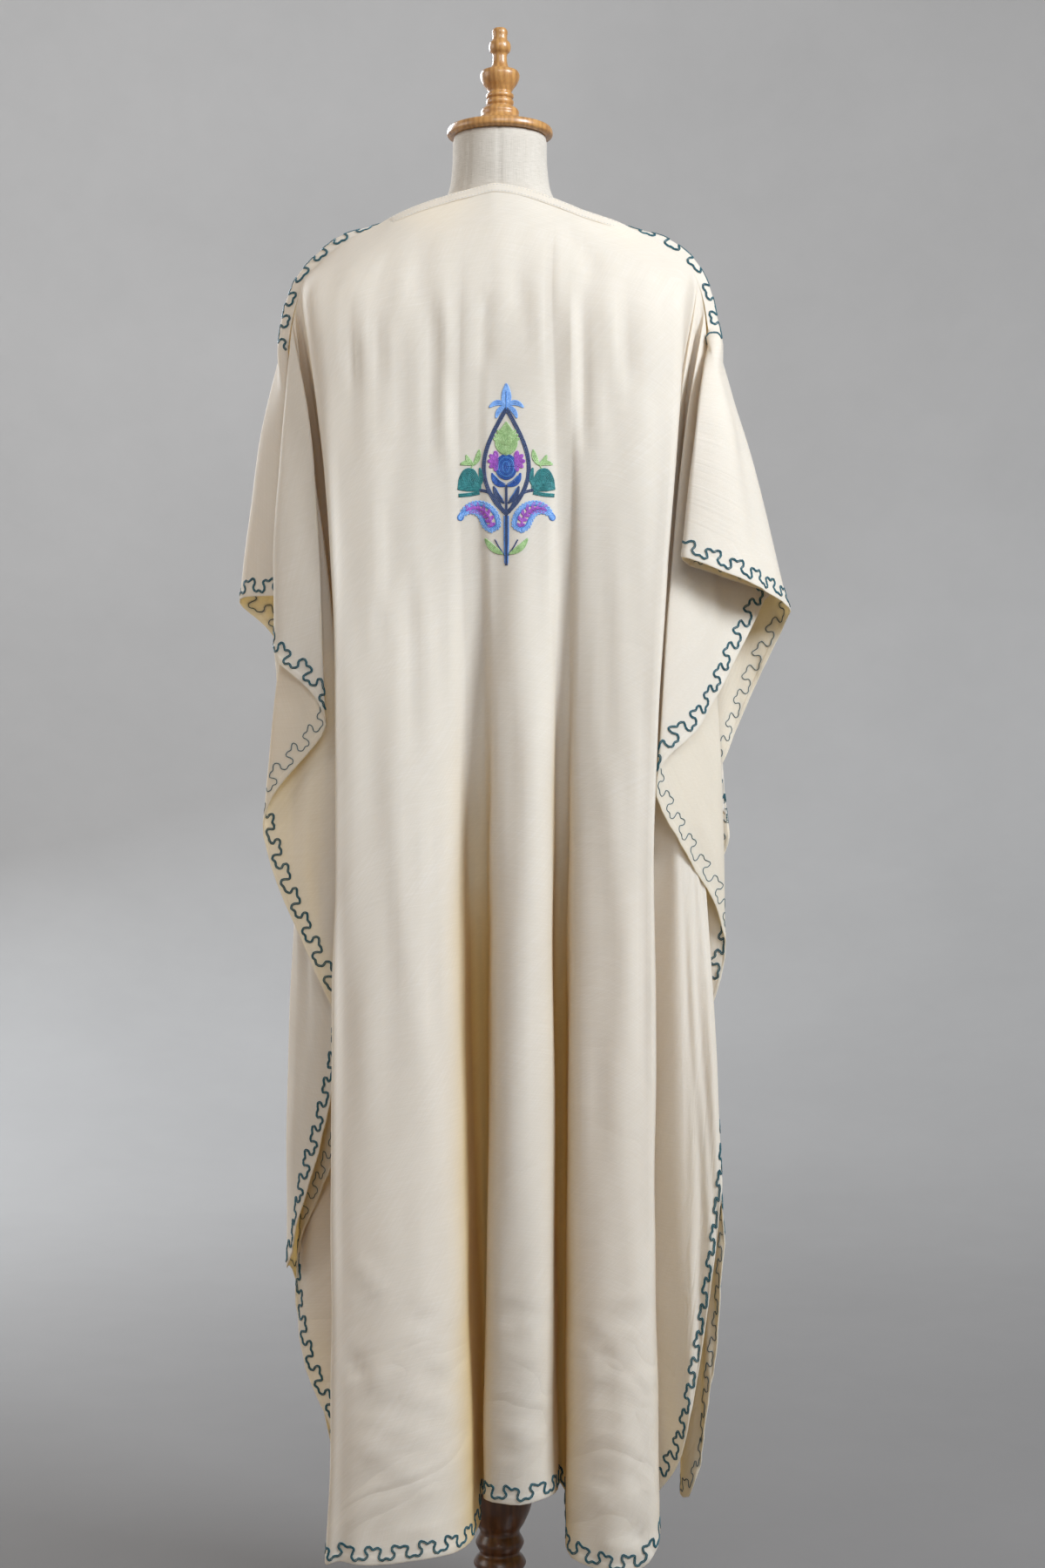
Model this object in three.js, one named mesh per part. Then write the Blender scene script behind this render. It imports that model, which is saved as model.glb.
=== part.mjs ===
// Kaftan on a limbless dress form with a turned wooden stand.
// Millimetres, +Z up.  The wearer's front faces +Y, the wearer's right is +X,
// and the base stands on z = 0.  The tables below are measured from the axis of
// the stand.
import * as THREE from 'three';

// ---------------------------------------------------------------- sizes
const CLOTH = 1.0;            // wall of the crepe, hem turnings included
const BINDING_WIDTH = 11;     // neck binding, finished
const BINDING_THICK = 1.0;
const BINDING_GAP = 0.45;     // under it, over the edges of both panels
const SHOULDER_ROW = 44;       // second row of facets, below the shoulder edge
const ROWS = 17;              // rows of facets from shoulder to hem
const FACET = 66;             // widest facet across a panel
const FORM_SIDES = 44;        // facets round the torso
const TURNED_SIDES = 40;      // facets round the turned wood

// Heights at which the fold tables give each fold's place in plan.
const LEVELS = [1500, 1380, 1180, 950, 620, 220];

// ---------------------------------------------------------------- seams
// The shoulder and sleeve seams that join front and back: from the neck point
// out over the shoulder, past its tip and down to the top of the side seam.
// 'apart' is how far the front panel's edge stands from the seam line, along X
// and Y; the back panel's edge stands as far on the other side.
//  x, y, z, apart x, apart y
const SEAM_LEFT = [
  [-125, -36, 1584.5, 0, 0.65],
  [-170, -27, 1562, 0, 0.75],
  [-198, -22, 1539, -0.1, 0.8],
  [-211, -20.5, 1525, -0.2, 0.8],
  [-217, -21, 1509, -0.3, 0.8],
  [-221, -23, 1494, -0.5, 0.8],
  [-224.5, -27, 1475, -0.8, 0.9],
  [-227, -30, 1452, -0.9, 1.0],
];
const SEAM_RIGHT = [
  [135, -34.5, 1581.5, 0, 0.65],
  [172, -27, 1563.5, 0, 0.75],
  [199, -22, 1545, 0.1, 0.8],
  [210, -21, 1532, 0.2, 0.8],
  [216, -21, 1518, 0.3, 0.8],
  [220, -21.5, 1503, 0.6, 0.8],
  [223.5, -26, 1476, 1.1, 0.5],
  [225, -30, 1454, 2.0, -1.0],
];
// The same for the side seams below, from the shoulder seam to the side hem.
const SIDE_APART_LEFT = [-0.7, 1.0];
const SIDE_APART_RIGHT = [-0.4, -0.8];

// ---------------------------------------------------------------- folds
// One row for each fold line of a panel, from its left edge to its right edge
// as seen from behind.  'top' is where the fold leaves the seam or neckline,
// then its place [x, y] at each of LEVELS, then 'end' on the side edge or hem.
//  name, top, 1500, 1380, 1180, 950, 620, 220, end
const BACK_FOLDS = [
  ['l_seam', [-227, -30, 1452], null, [-222, -29], null, null, null, null, [-213, -44, 1182]],
  ['l_a2', [-226, -30, 1458], null, [-227, -37], [-235, -60], null, null, null, [-234, -60, 1133]],
  ['l_a', [-226, -29, 1465], null, [-228, -52], [-235, -84], null, null, null, [-234, -88, 1111]],
  ['l_ab', [-225, -28, 1472], null, [-204, -68], [-186, -107], null, null, null, [-182, -112, 1042]],
  ['l_bc', [-224, -26, 1479], null, [-221, -43], [-226, -74], [-247, -72], null, null, [-249, -72, 924]],
  ['l_ce', [-222, -25, 1487], null, [-208, -55], [-178, -86], [-160, -94], null, null, [-158, -84, 672]],
  ['l_ef', [-220, -23, 1496], null, [-216, -28], [-206, -8], [-206, 8], [-213, 4], null, [-220, 0, 466]],
  ['l_fm', [-219, -22, 1502], null, [-204, -37], [-185, -38], [-175, -30], [-190, -20], null, [-210, -10, 346]],
  ['l_val', [-217, -22, 1509], null, [-195, -54], [-162, -72], [-144, -68], [-139, -50], null, [-148, -58, 222]],
  ['l_main', [-210, -21, 1526], [-205, -62], [-190, -88], [-173, -114], [-170, -130], [-171, -140], [-175, -152], [-177, -153, 183]],
  ['m0', [-170, -27, 1562], [-174, -82], [-169, -100], [-162, -120], [-159, -140], [-159, -153], [-160, -168], [-162, -169, 186]],
  ['m1', [-125, -37, 1585], [-137, -94], [-136, -109], [-131, -123], [-126, -143], [-125, -162], [-126, -178], [-128, -178, 185]],
  ['m2', [-88, -45, 1600], [-96, -98], [-94, -111], [-90, -121], [-85, -141], [-77, -159], [-71, -174], [-71, -174, 191]],
  ['v1a', [-50, -51, 1611], [-56, -102], [-57, -112], [-55, -115], [-50, -123], [-40, -130], [-29, -140], [-28, -140, 196]],
  ['v1l', [-32, -54, 1615], [-36, -103], [-39, -111], [-36, -107], [-32, -94], [-25, -58], null, [-18, -50, 223]],
  ['v1r', [-16, -56, 1619], [-19, -104], [-23, -111], [-19, -106], [-15, -94], [-10, -60], null, [-8, -52, 229]],
  ['c1', [-2, -57, 1621], [-3, -105], [-8, -113], [-5, -115], [-4, -124], [-8, -128], null, [-13, -132, 238]],
  ['c2', [24, -56, 1617], [19, -105], [19, -115], [23, -122], [25, -142], [25, -150], null, [22, -152, 238]],
  ['c3', [50, -52, 1609], [45, -104], [46, -113], [51, -115], [54, -124], [55, -130], null, [57, -134, 245]],
  ['v2l', [62, -50, 1605], [58, -103], [61, -110], [62, -106], [60, -94], [59, -58], null, [59, -50, 232]],
  ['v2r', [76, -48, 1600], [73, -102], [75, -110], [74, -105], [73, -94], [73, -58], null, [72, -50, 223]],
  ['r1', [92, -45, 1594], [90, -100], [90, -112], [86, -116], [80, -124], [76, -134], [72, -142], [72, -142, 188]],
  ['r2', [135, -35, 1582], [129, -94], [132, -108], [126, -122], [120, -143], [118, -158], [115, -174], [114, -174, 176]],
  ['r2b', [172, -28, 1564], [168, -82], [169, -100], [157, -120], [149, -140], [148, -155], [147, -170], [147, -170, 180]],
  ['r3', [206, -22, 1541], [197, -64], [190, -90], [174, -114], [162, -130], [162, -142], [165, -152], [165, -153, 205]],
  ['r_val', [214, -22, 1526], null, [187, -54], [158, -68], [144, -62], [153, -50], null, [166, -60, 217]],
  ['r_fm', [216, -22, 1520], null, [193, -56], [182, -78], [187, -76], [194, -84], null, [199, -92, 301]],
  ['r_ef', [218, -22, 1514], null, [198, -46], [197, -66], [213, -58], [233, -82], null, [234, -86, 564]],
  ['r_ce', [220, -22, 1505], null, [196, -36], [187, -50], [197, -34], null, null, [202, -44, 658]],
  ['r_bc', [221, -23, 1496], null, [208, -36], [223, -46], [240, -42], null, null, [242, -42, 812]],
  ['r_ab', [222, -25, 1487], null, [201, -68], [179, -99], null, null, null, [166, -108, 974]],
  ['r_am', [223, -26, 1478], null, [213, -58], [222, -77], null, null, null, [220, -82, 1052]],
  ['r_a', [224, -28, 1470], null, [229, -38], null, null, null, null, [286, -30, 1179]],
  ['r_a2', [225, -29, 1462], null, [232, -50], null, null, null, null, [290, -46, 1185]],
  ['r_seam', [225, -30, 1454], null, [217, -76], null, null, null, null, [200, -109, 1208]],
];

// The front panel starts at the same seams, so its rows also have 'over', the
// point where the cloth turns over the shoulder (null below the shoulder).
//  name, top, over, 1500, 1380, 1180, 950, 620, 220, end
const FRONT_FOLDS = [
  ['l_seam', [-227, -30, 1452], null, null, [-222, -29], null, null, null, null, [-213, -44, 1182]],
  ['l_mid', [-228, -26, 1462], null, null, [-237, -26], null, null, null, null, [-245, -36, 1183]],
  ['l_a', [-227, -22, 1476], [-229, -12, 1476], null, [-257, 2], null, null, null, null, [-284, 8, 1178]],
  ['l_ab', [-224, -20, 1490], [-228, -4, 1488], null, [-250, 20], null, null, null, null, [-244, 12, 1132]],
  ['l_bc', [-222, -20, 1498], [-228, 2, 1496], null, [-251, 40], [-254, 54], null, null, null, [-239, 16, 1028]],
  ['l_bm', [-221, -20, 1502], [-226, 3, 1501], null, [-236, 12], [-231, -4], [-216, -50], null, null, [-208, -58, 878]],
  ['l_cd', [-219, -20, 1506], [-224, 3, 1506], null, [-223, -10], [-210, -32], [-182, -72], null, null, [-173, -72, 692]],
  ['l_d', [-216, -20, 1514], [-220, 8, 1515], null, [-229, 26], [-220, 22], [-220, 2], [-223, -26], null, [-225, -24, 474]],
  ['l_dm', [-213, -20, 1521], [-217, 10, 1522], null, [-221, 50], [-217, 48], [-221, 30], [-228, 22], null, [-224, 22, 432]],
  ['l_val', [-210, -20, 1527], [-213, 12, 1528], null, [-209, 70], [-205, 62], [-193, 42], [-186, 44], null, [-175, 30, 200]],
  ['l_main', [-196, -22, 1540], [-198, 10, 1545], [-204, 34], [-204, 82], [-202, 104], [-201, 116], [-196, 124], null, [-186, 130, 212]],
  ['n0', [-170, -26, 1561], [-172, 12, 1567], [-181, 60], [-178, 102], [-174, 122], [-175, 138], [-174, 150], [-173, 160], [-173, 162, 206]],
  ['n1', [-125, -36, 1584], [-126, 12, 1590], [-138, 78], [-142, 118], [-141, 130], [-137, 140], [-136, 158], [-135, 172], [-135, 172, 202]],
  ['n2', [-101, 19, 1584], null, [-99, 92], [-105, 130], [-105, 134], [-101, 136], [-98, 146], [-96, 158], [-96, 158, 206]],
  ['n3', [-74, 58, 1556], null, [-66, 104], [-71, 134], [-75, 132], [-73, 128], [-72, 100], null, [-71, 80, 216]],
  ['n4', [-50, 84, 1534], null, [-43, 110], [-49, 135], [-51, 134], [-47, 136], [-45, 142], [-46, 150], [-46, 152, 208]],
  ['n5', [-22, 100, 1512], null, [-15, 110], [-17, 132], [-15, 136], [-13, 146], [-14, 160], [-14, 172], [-14, 174, 203]],
  ['n6', [0, 104, 1500], null, [2, 109], [3, 131], [7, 134], [9, 136], [9, 128], null, [9, 118, 208]],
  ['n7', [22, 100, 1512], null, [25, 110], [25, 132], [29, 132], [31, 126], [31, 96], null, [31, 78, 216]],
  ['n8', [50, 84, 1534], null, [54, 110], [55, 135], [57, 134], [61, 136], [63, 142], [65, 148], [65, 150, 207]],
  ['n9', [74, 58, 1556], null, [80, 104], [85, 134], [89, 136], [93, 144], [95, 158], [98, 170], [98, 172, 202]],
  ['n10', [104, 18, 1580], null, [111, 92], [120, 128], [124, 130], [129, 136], [131, 144], [135, 150], [135, 152, 206]],
  ['n11', [135, -34, 1581], [136, 12, 1587], [138, 78], [150, 114], [154, 124], [160, 134], [165, 148], [170, 158], [170, 158, 203]],
  ['n12', [172, -27, 1563], [174, 12, 1569], [180, 56], [188, 98], [191, 114], [194, 126], [197, 138], [201, 146], [201, 146, 207]],
  ['n13', [198, -22, 1545], [201, 10, 1550], [201, 26], [213, 76], [213, 92], [212, 104], [215, 112], null, [219, 112, 212]],
  ['r_val', [208, -20, 1532], [212, 10, 1534], null, [212, 56], [198, 60], [190, 36], [195, 20], null, [198, 4, 207]],
  ['r_f', [211, -20, 1526], [215, 9, 1528], null, [215, 42], [205, 48], [203, 26], [215, -2], null, [213, -34, 239]],
  ['r_e', [213, -20, 1521], [218, 8, 1522], null, [218, 27], [214, 30], [216, 20], [232, -26], null, [239, -44, 476]],
  ['r_de', [215, -20, 1516], [220, 7, 1517], null, [213, 13], [198, 14], [198, -2], null, null, [214, -12, 781]],
  ['r_d', [217, -20, 1511], [222, 6, 1511], null, [222, 12], [228, 18], [249, 5], null, null, [251, 5, 928]],
  ['r_g', [219, -20, 1505], [224, 4, 1504], null, [215, -6], [206, -14], null, null, null, [220, -12, 975]],
  ['r_g2', [220, -20, 1499], [225, 3, 1498], null, [228, -2], [237, -8], null, null, null, [240, -12, 999]],
  ['r_h', [221, -21, 1492], [226, 0, 1490], null, [240, 2], [268, 2], null, null, null, [273, -2, 1075]],
  ['r_b', [222, -22, 1486], [227, -4, 1484], null, [254, -4], null, null, null, null, [306, -14, 1148]],
  ['r_a', [223, -24, 1479], [227, -12, 1477], null, [256, -30], null, null, null, null, [309, -46, 1169]],
  ['r_m', [224, -26, 1470], null, null, [244, -72], null, null, null, null, [270, -98, 1189]],
  ['r_m2', [225, -28, 1463], null, null, [227, -88], null, null, null, null, [226, -121, 1205]],
  ['r_fold', [225, -30, 1458], null, null, [210, -90], null, null, null, null, [191, -121, 1216]],
  ['r_seam', [225, -30, 1454], null, null, [216, -78], null, null, null, null, [200, -111, 1208]],
];

const NECK_BACK = ['m1', 'r2'];      // folds that start at the neck points
const NECK_FRONT = ['n1', 'n11'];

// ---------------------------------------------------------------- dress form
// Torso and neck sections: height, half width, front depth, back depth.
const TORSO = [
  [858, 150, 84, 78],
  [872, 158, 92, 84],
  [940, 161, 96, 86],
  [1030, 148, 90, 80],
  [1120, 122, 80, 70],
  [1200, 128, 98, 78],
  [1290, 150, 119, 92],
  [1370, 165, 114, 98],
  [1440, 176, 96, 96],
  [1495, 181, 78, 88],
  [1530, 172, 58, 76],
  [1553, 148, 38, 64],
  [1572, 114, 26, 60],
  [1588, 86, 27, 56],
  [1606, 66, 36, 52],
  [1626, 55.5, 47, 50.5],
  [1650, 52, 51, 51],
  [1684, 51.3, 51.3, 51.3],
];

// Turned neck cap and finial: radius, height.
const CAP = [
  [0, 1684.4], [54, 1684.4], [57.3, 1686.5], [57.6, 1690], [56.4, 1693.4], [50, 1695.2],
  [38, 1698.4], [24, 1703.6], [20.6, 1708.5], [20.8, 1712.6], [18, 1716.4], [13.4, 1718.6],
  [14.9, 1721.2], [14.9, 1724.4], [13, 1726.2], [14.9, 1728.2], [14.9, 1731.2], [12.8, 1733.2],
  [14.6, 1737.5], [18.6, 1743], [21, 1748.5], [21.4, 1753.2], [19.4, 1756.8], [12.6, 1758.2],
  [9.2, 1762.5], [7.8, 1769.5], [8.2, 1775.5], [11, 1778.8], [12, 1783], [11.2, 1787.6],
  [8.2, 1791.4], [7.9, 1794], [8.1, 1801.6], [6.4, 1803.6], [0, 1804.2],
];

// Turned post under the torso: radius, height.
const POST = [
  [0, 42.4], [34, 42.4], [34, 47], [25, 52], [20, 62], [19, 84], [22, 98], [27.5, 104],
  [29.4, 110], [27.5, 116], [22, 120], [25.5, 125.5], [28.6, 132], [25.5, 138.5], [21.6, 143],
  [24.4, 148.5], [26.4, 154.4], [24, 160], [21.6, 164.5], [27, 176], [34, 193], [36, 208],
  [34, 224], [27, 242], [21, 256], [18.5, 270], [22.4, 277], [22.4, 285], [18, 292],
  [17.5, 420], [18.5, 600], [20, 780], [24, 832], [42, 848], [46, 857.6], [0, 857.6],
];

// Turned base, standing on the floor: radius, height.
const BASE = [
  [0, 0], [176, 0], [184, 3], [187, 9], [184, 15.4], [176, 18.4], [150, 20.6], [112, 24],
  [84, 29], [66, 34.5], [60, 38.4], [54, 41], [40, 42], [0, 42],
];

// ---------------------------------------------------------------- curves
const sub = (a, b) => a.map((v, i) => v - b[i]);
const add = (a, b, k = 1) => a.map((v, i) => v + b[i] * k);
const len = (a) => Math.hypot(...a);
const unit = (a) => { const l = len(a) || 1; return a.map((v) => v / l); };
const cross = (a, b) => [a[1] * b[2] - a[2] * b[1], a[2] * b[0] - a[0] * b[2], a[0] * b[1] - a[1] * b[0]];
const mix = (a, b, k) => a.map((v, i) => v + (b[i] - v) * k);

// Smooth curve through points, by chord length; k runs from 0 to 1.
function smoothLine(points) {
  const s = [0];
  for (let i = 1; i < points.length; i++) s.push(s[i - 1] + len(sub(points[i], points[i - 1])));
  const d = points.slice(1).map((p, i) => sub(p, points[i]).map((v) => v / (s[i + 1] - s[i])));
  const m = points.map((p, i) => {
    if (i === 0) return d[0];
    if (i === points.length - 1) return d[i - 1];
    const a = s[i] - s[i - 1], b = s[i + 1] - s[i];
    return p.map((_, c) => (d[i - 1][c] * b + d[i][c] * a) / (a + b));
  });
  return (k) => {
    const x = k * s[s.length - 1];
    let i = 0;
    while (i < s.length - 2 && x > s[i + 1]) i++;
    const h = s[i + 1] - s[i], u = (x - s[i]) / h, u2 = u * u, u3 = u2 * u;
    return points[i].map((v, c) => v * (2 * u3 - 3 * u2 + 1) + m[i][c] * h * (u3 - 2 * u2 + u)
      + points[i + 1][c] * (3 * u2 - 2 * u3) + m[i + 1][c] * h * (u3 - u2));
  };
}

// Smooth interpolation across folds; u runs from 0 to the number of folds - 1.
function acrossFolds(values, u) {
  const n = values.length, i = Math.min(n - 2, Math.floor(u)), f = u - i;
  const p1 = values[i], p2 = values[i + 1];
  const p0 = i > 0 ? values[i - 1] : add(p1, sub(p1, p2));
  const p3 = i + 2 < n ? values[i + 2] : add(p2, sub(p2, p1));
  return p1.map((_, c) => 0.5 * (2 * p1[c] + (p2[c] - p0[c]) * f
    + (2 * p0[c] - 5 * p1[c] + 4 * p2[c] - p3[c]) * f * f
    + (3 * p1[c] - p0[c] - 3 * p2[c] + p3[c]) * f * f * f));
}

// ---------------------------------------------------------------- panels
function foldLine(row, hasOver) {
  const [, top, ...rest] = row;
  const over = hasOver ? rest.shift() : null;
  const end = rest.pop();
  const points = [top];
  if (over) points.push(over);
  rest.forEach((place, i) => { if (place) points.push([place[0], place[1], LEVELS[i]]); });
  points.push(end);
  return smoothLine(points);
}

function nearestOnSeam(seam, p) {
  const line = smoothLine(seam);
  let best = null, bestD = 1e9;
  for (let i = 0; i <= 600; i++) {
    const q = line(i / 600), d = len(sub(q.slice(0, 3), p));
    if (d < bestD) { bestD = d; best = q; }
  }
  return best;
}

// How far down a fold line each row lies, as a share of its length.  The neck
// binding fits on the first row, and the second follows the turn over the
// shoulder.
function rowShare(j, length) {
  const first = BINDING_WIDTH / length, second = SHOULDER_ROW / length;
  if (j < 2) return j * first;
  const k = (j - 2) / (ROWS - 2);
  return second + (1 - second) * (0.62 * k + 0.38 * k * k);
}

const lengthOf = (line) => {
  let sum = 0;
  for (let i = 0; i < 40; i++) sum += len(sub(line((i + 1) / 40), line(i / 40)));
  return sum;
};

function panel(rows, hasOver, neck, side) {
  const names = rows.map((r) => r[0]);
  const lines = rows.map((r) => foldLine(r, hasOver));
  const rowIds = Array.from({ length: ROWS + 1 }, (_, j) => j);
  const table = lines.map((l) => { const d = lengthOf(l); return rowIds.map((j) => l(rowShare(j, d))); });
  const us = [0];
  for (let i = 0; i + 1 < rows.length; i++) {
    const span = Math.max(...rowIds.map((j) => len(sub(table[i + 1][j], table[i][j]))));
    const n = Math.max(1, Math.ceil(span / FACET));
    for (let k = 1; k <= n; k++) us.push(i + k / n);
  }
  const grid = us.map((u) => rowIds.map((j) => acrossFolds(table.map((col) => col[j]), u)));
  const u0 = names.indexOf(neck[0]), u1 = names.indexOf(neck[1]);
  const n = us.length;
  // seam edges: on the seam line, then back by the retreat
  us.forEach((u, i) => {
    if (u > u0 && u < u1) return;
    const q = nearestOnSeam(u <= u0 ? SEAM_LEFT : SEAM_RIGHT, grid[i][0]);
    grid[i][0] = add(q.slice(0, 3), [q[3], q[4], 0], side);
  });
  for (let j = 1; j <= ROWS; j++) {
    const k = Math.min(1, j / 4);
    const l = mix(SEAM_LEFT[SEAM_LEFT.length - 1].slice(3), SIDE_APART_LEFT, k);
    const r = mix(SEAM_RIGHT[SEAM_RIGHT.length - 1].slice(3), SIDE_APART_RIGHT, k);
    grid[0][j] = add(grid[0][j], [...l, 0], side);
    grid[n - 1][j] = add(grid[n - 1][j], [...r, 0], side);
  }
  return { grid, us, neck: [us.indexOf(u0), us.indexOf(u1)] };
}

function gridNormals(grid, outward) {
  const n = grid.length, m = grid[0].length;
  return grid.map((col, i) => col.map((_, j) => {
    const a = sub(grid[Math.min(n - 1, i + 1)][j], grid[Math.max(0, i - 1)][j]);
    const b = sub(grid[i][Math.min(m - 1, j + 1)], grid[i][Math.max(0, j - 1)]);
    return unit(cross(a, b)).map((v) => v * outward);
  }));
}

// Closed wall between two grids of points, outer and inner.
function wall(outer, inner, ring = false, mirrored = false) {
  const n = outer.length, m = outer[0].length;
  const pos = [], tri = [];
  for (const g of [outer, inner]) for (const col of g) for (const p of col) pos.push(...p);
  const id = (side, i, j) => side * n * m + (i % n) * m + j;
  const quad = (a, b, c, d) => (mirrored ? tri.push(a, b, d, b, c, d) : tri.push(a, b, c, a, c, d));
  const columns = ring ? n : n - 1;
  for (let i = 0; i < columns; i++) {
    for (let j = 0; j + 1 < m; j++) {
      quad(id(0, i, j), id(0, i, j + 1), id(0, i + 1, j + 1), id(0, i + 1, j));
      quad(id(1, i, j), id(1, i + 1, j), id(1, i + 1, j + 1), id(1, i, j + 1));
    }
    quad(id(0, i, 0), id(0, i + 1, 0), id(1, i + 1, 0), id(1, i, 0));
    quad(id(0, i, m - 1), id(1, i, m - 1), id(1, i + 1, m - 1), id(0, i + 1, m - 1));
  }
  if (!ring) {
    for (let j = 0; j + 1 < m; j++) {
      quad(id(0, 0, j), id(1, 0, j), id(1, 0, j + 1), id(0, 0, j + 1));
      quad(id(0, n - 1, j), id(0, n - 1, j + 1), id(1, n - 1, j + 1), id(1, n - 1, j));
    }
  }
  return outwardGeometry(pos, tri);
}

function outwardGeometry(pos, tri) {
  let vol = 0;
  for (let i = 0; i < tri.length; i += 3) {
    const [a, b, c] = [0, 1, 2].map((k) => pos.slice(3 * tri[i + k], 3 * tri[i + k] + 3));
    const x = cross(b, c);
    vol += a[0] * x[0] + a[1] * x[1] + a[2] * x[2];
  }
  if (vol < 0) for (let i = 0; i < tri.length; i += 3) [tri[i + 1], tri[i + 2]] = [tri[i + 2], tri[i + 1]];
  const g = new THREE.BufferGeometry();
  g.setAttribute('position', new THREE.Float32BufferAttribute(pos, 3));
  g.setIndex(tri);
  g.computeVertexNormals();
  return g;
}

const shift = (grid, normals, d) => grid.map((col, i) => col.map((p, j) => add(p, normals[i][j], d)));

// ---------------------------------------------------------------- build
const back = panel(BACK_FOLDS, false, NECK_BACK, -1);
const front = panel(FRONT_FOLDS, true, NECK_FRONT, 1);
// away from the body: the back panel's outer face looks to -Y, the front's to +Y
back.normals = gridNormals(back.grid, -1);
front.normals = gridNormals(front.grid, 1);

const panelWall = (p, mirrored) => wall(shift(p.grid, p.normals, CLOTH / 2), shift(p.grid, p.normals, -CLOTH / 2), false, mirrored);

// Neck binding: a ring made from the panels' own edge points, moved out.  At
// each neck point it also reaches a binding's width along the shoulder seam.
function bindingRing() {
  const strip = (p, i) => [0, 1].map((j) => ({ p: p.grid[i][j], n: p.normals[i][j] }));
  const joint = (i, k, step) => {
    const [a, b] = [[back, i], [front, k]].map(([p, at]) => {
      const point = p.grid[at][0], along = unit(sub(p.grid[at + step][0], point));
      return { p: point, n: p.normals[at][0], far: add(point, along, BINDING_WIDTH) };
    });
    const dot = a.n[0] * b.n[0] + a.n[1] * b.n[1] + a.n[2] * b.n[2];
    const n = add(a.n, b.n).map((v) => v / (1 + dot));
    return [{ p: mix(a.p, b.p, 0.5), n }, { p: mix(a.far, b.far, 0.5), n: n.map((v) => v * 1.3) }];
  };
  const cols = [];
  const [b0, b1] = back.neck, [f0, f1] = front.neck;
  cols.push(joint(b0, f0, -1));
  for (let i = b0; i <= b1; i++) cols.push(strip(back, i));
  cols.push(joint(b1, f1, 1));
  for (let i = f1; i >= f0; i--) cols.push(strip(front, i));
  const at = (d) => cols.map((c) => c.map((v) => add(v.p, v.n, d)));
  const under = CLOTH / 2 + BINDING_GAP;
  return wall(at(under + BINDING_THICK), at(under), true);
}

function torsoGeometry() {
  const pos = [], tri = [];
  for (const [z, w, f, b] of TORSO) {
    for (let i = 0; i < FORM_SIDES; i++) {
      const a = (2 * Math.PI * i) / FORM_SIDES;
      pos.push(w * Math.cos(a), Math.sin(a) > 0 ? f * Math.sin(a) : b * Math.sin(a), z);
    }
  }
  const last = TORSO.length - 1;
  const id = (k, i) => k * FORM_SIDES + (i % FORM_SIDES);
  for (let k = 0; k < last; k++) {
    for (let i = 0; i < FORM_SIDES; i++) {
      tri.push(id(k, i), id(k, i + 1), id(k + 1, i + 1), id(k, i), id(k + 1, i + 1), id(k + 1, i));
    }
  }
  for (let i = 1; i + 1 < FORM_SIDES; i++) {
    tri.push(id(0, 0), id(0, i + 1), id(0, i), id(last, 0), id(last, i), id(last, i + 1));
  }
  return outwardGeometry(pos, tri);
}

// Turned solid about the upright axis.
function turned(profile) {
  const g = new THREE.LatheGeometry(profile.map(([r, z]) => new THREE.Vector2(r, z)), TURNED_SIDES);
  g.rotateX(Math.PI / 2);
  return g;
}

function mesh(name, geometry, color, roughness) {
  const m = new THREE.Mesh(geometry, new THREE.MeshStandardMaterial({ color, roughness, metalness: 0 }));
  m.name = name;
  return m;
}

const kaftan = new THREE.Group();
kaftan.add(
  mesh('kaftan_back_panel', panelWall(back, false), 0xeae2cf, 0.8),
  mesh('kaftan_front_panel', panelWall(front, true), 0xe6ddc9, 0.8),
  mesh('kaftan_neck_binding', bindingRing(), 0xe2d8c2, 0.8),
  mesh('form_torso', torsoGeometry(), 0xcdbfae, 0.9),
  mesh('stand_neck_cap', turned(CAP), 0xb5813f, 0.4),
  mesh('stand_post', turned(POST), 0x5a3216, 0.45),
  mesh('stand_base', turned(BASE), 0x5a3216, 0.45),
);

// The stand's axis lies a little to the left, so that the origin is under the
// middle of the whole object.
kaftan.position.x = -12.5;

export default kaftan;
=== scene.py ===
# Looks of the kaftan on its dress form and stand, in Blender 4.5.
# The tables and curves are those of the CAD part, in millimetres from the axis
# of the stand; everything is turned into metres in the row frame at the end.
import bpy, math
import numpy as np
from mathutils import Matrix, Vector
from mathutils.bvhtree import BVHTree


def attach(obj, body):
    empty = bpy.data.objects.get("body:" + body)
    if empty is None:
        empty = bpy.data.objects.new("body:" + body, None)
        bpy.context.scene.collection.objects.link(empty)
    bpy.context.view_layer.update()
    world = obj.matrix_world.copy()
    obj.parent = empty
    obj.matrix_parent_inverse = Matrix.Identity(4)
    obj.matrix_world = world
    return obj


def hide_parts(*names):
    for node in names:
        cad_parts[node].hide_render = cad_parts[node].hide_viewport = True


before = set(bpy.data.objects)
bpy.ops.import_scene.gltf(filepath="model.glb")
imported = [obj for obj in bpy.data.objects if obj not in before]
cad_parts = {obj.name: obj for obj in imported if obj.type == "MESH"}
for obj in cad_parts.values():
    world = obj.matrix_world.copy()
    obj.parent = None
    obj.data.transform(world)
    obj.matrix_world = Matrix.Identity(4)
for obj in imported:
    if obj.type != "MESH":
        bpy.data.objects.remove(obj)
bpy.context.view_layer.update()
AXIS_X = -12.5            # the stand's axis in the row frame

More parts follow.
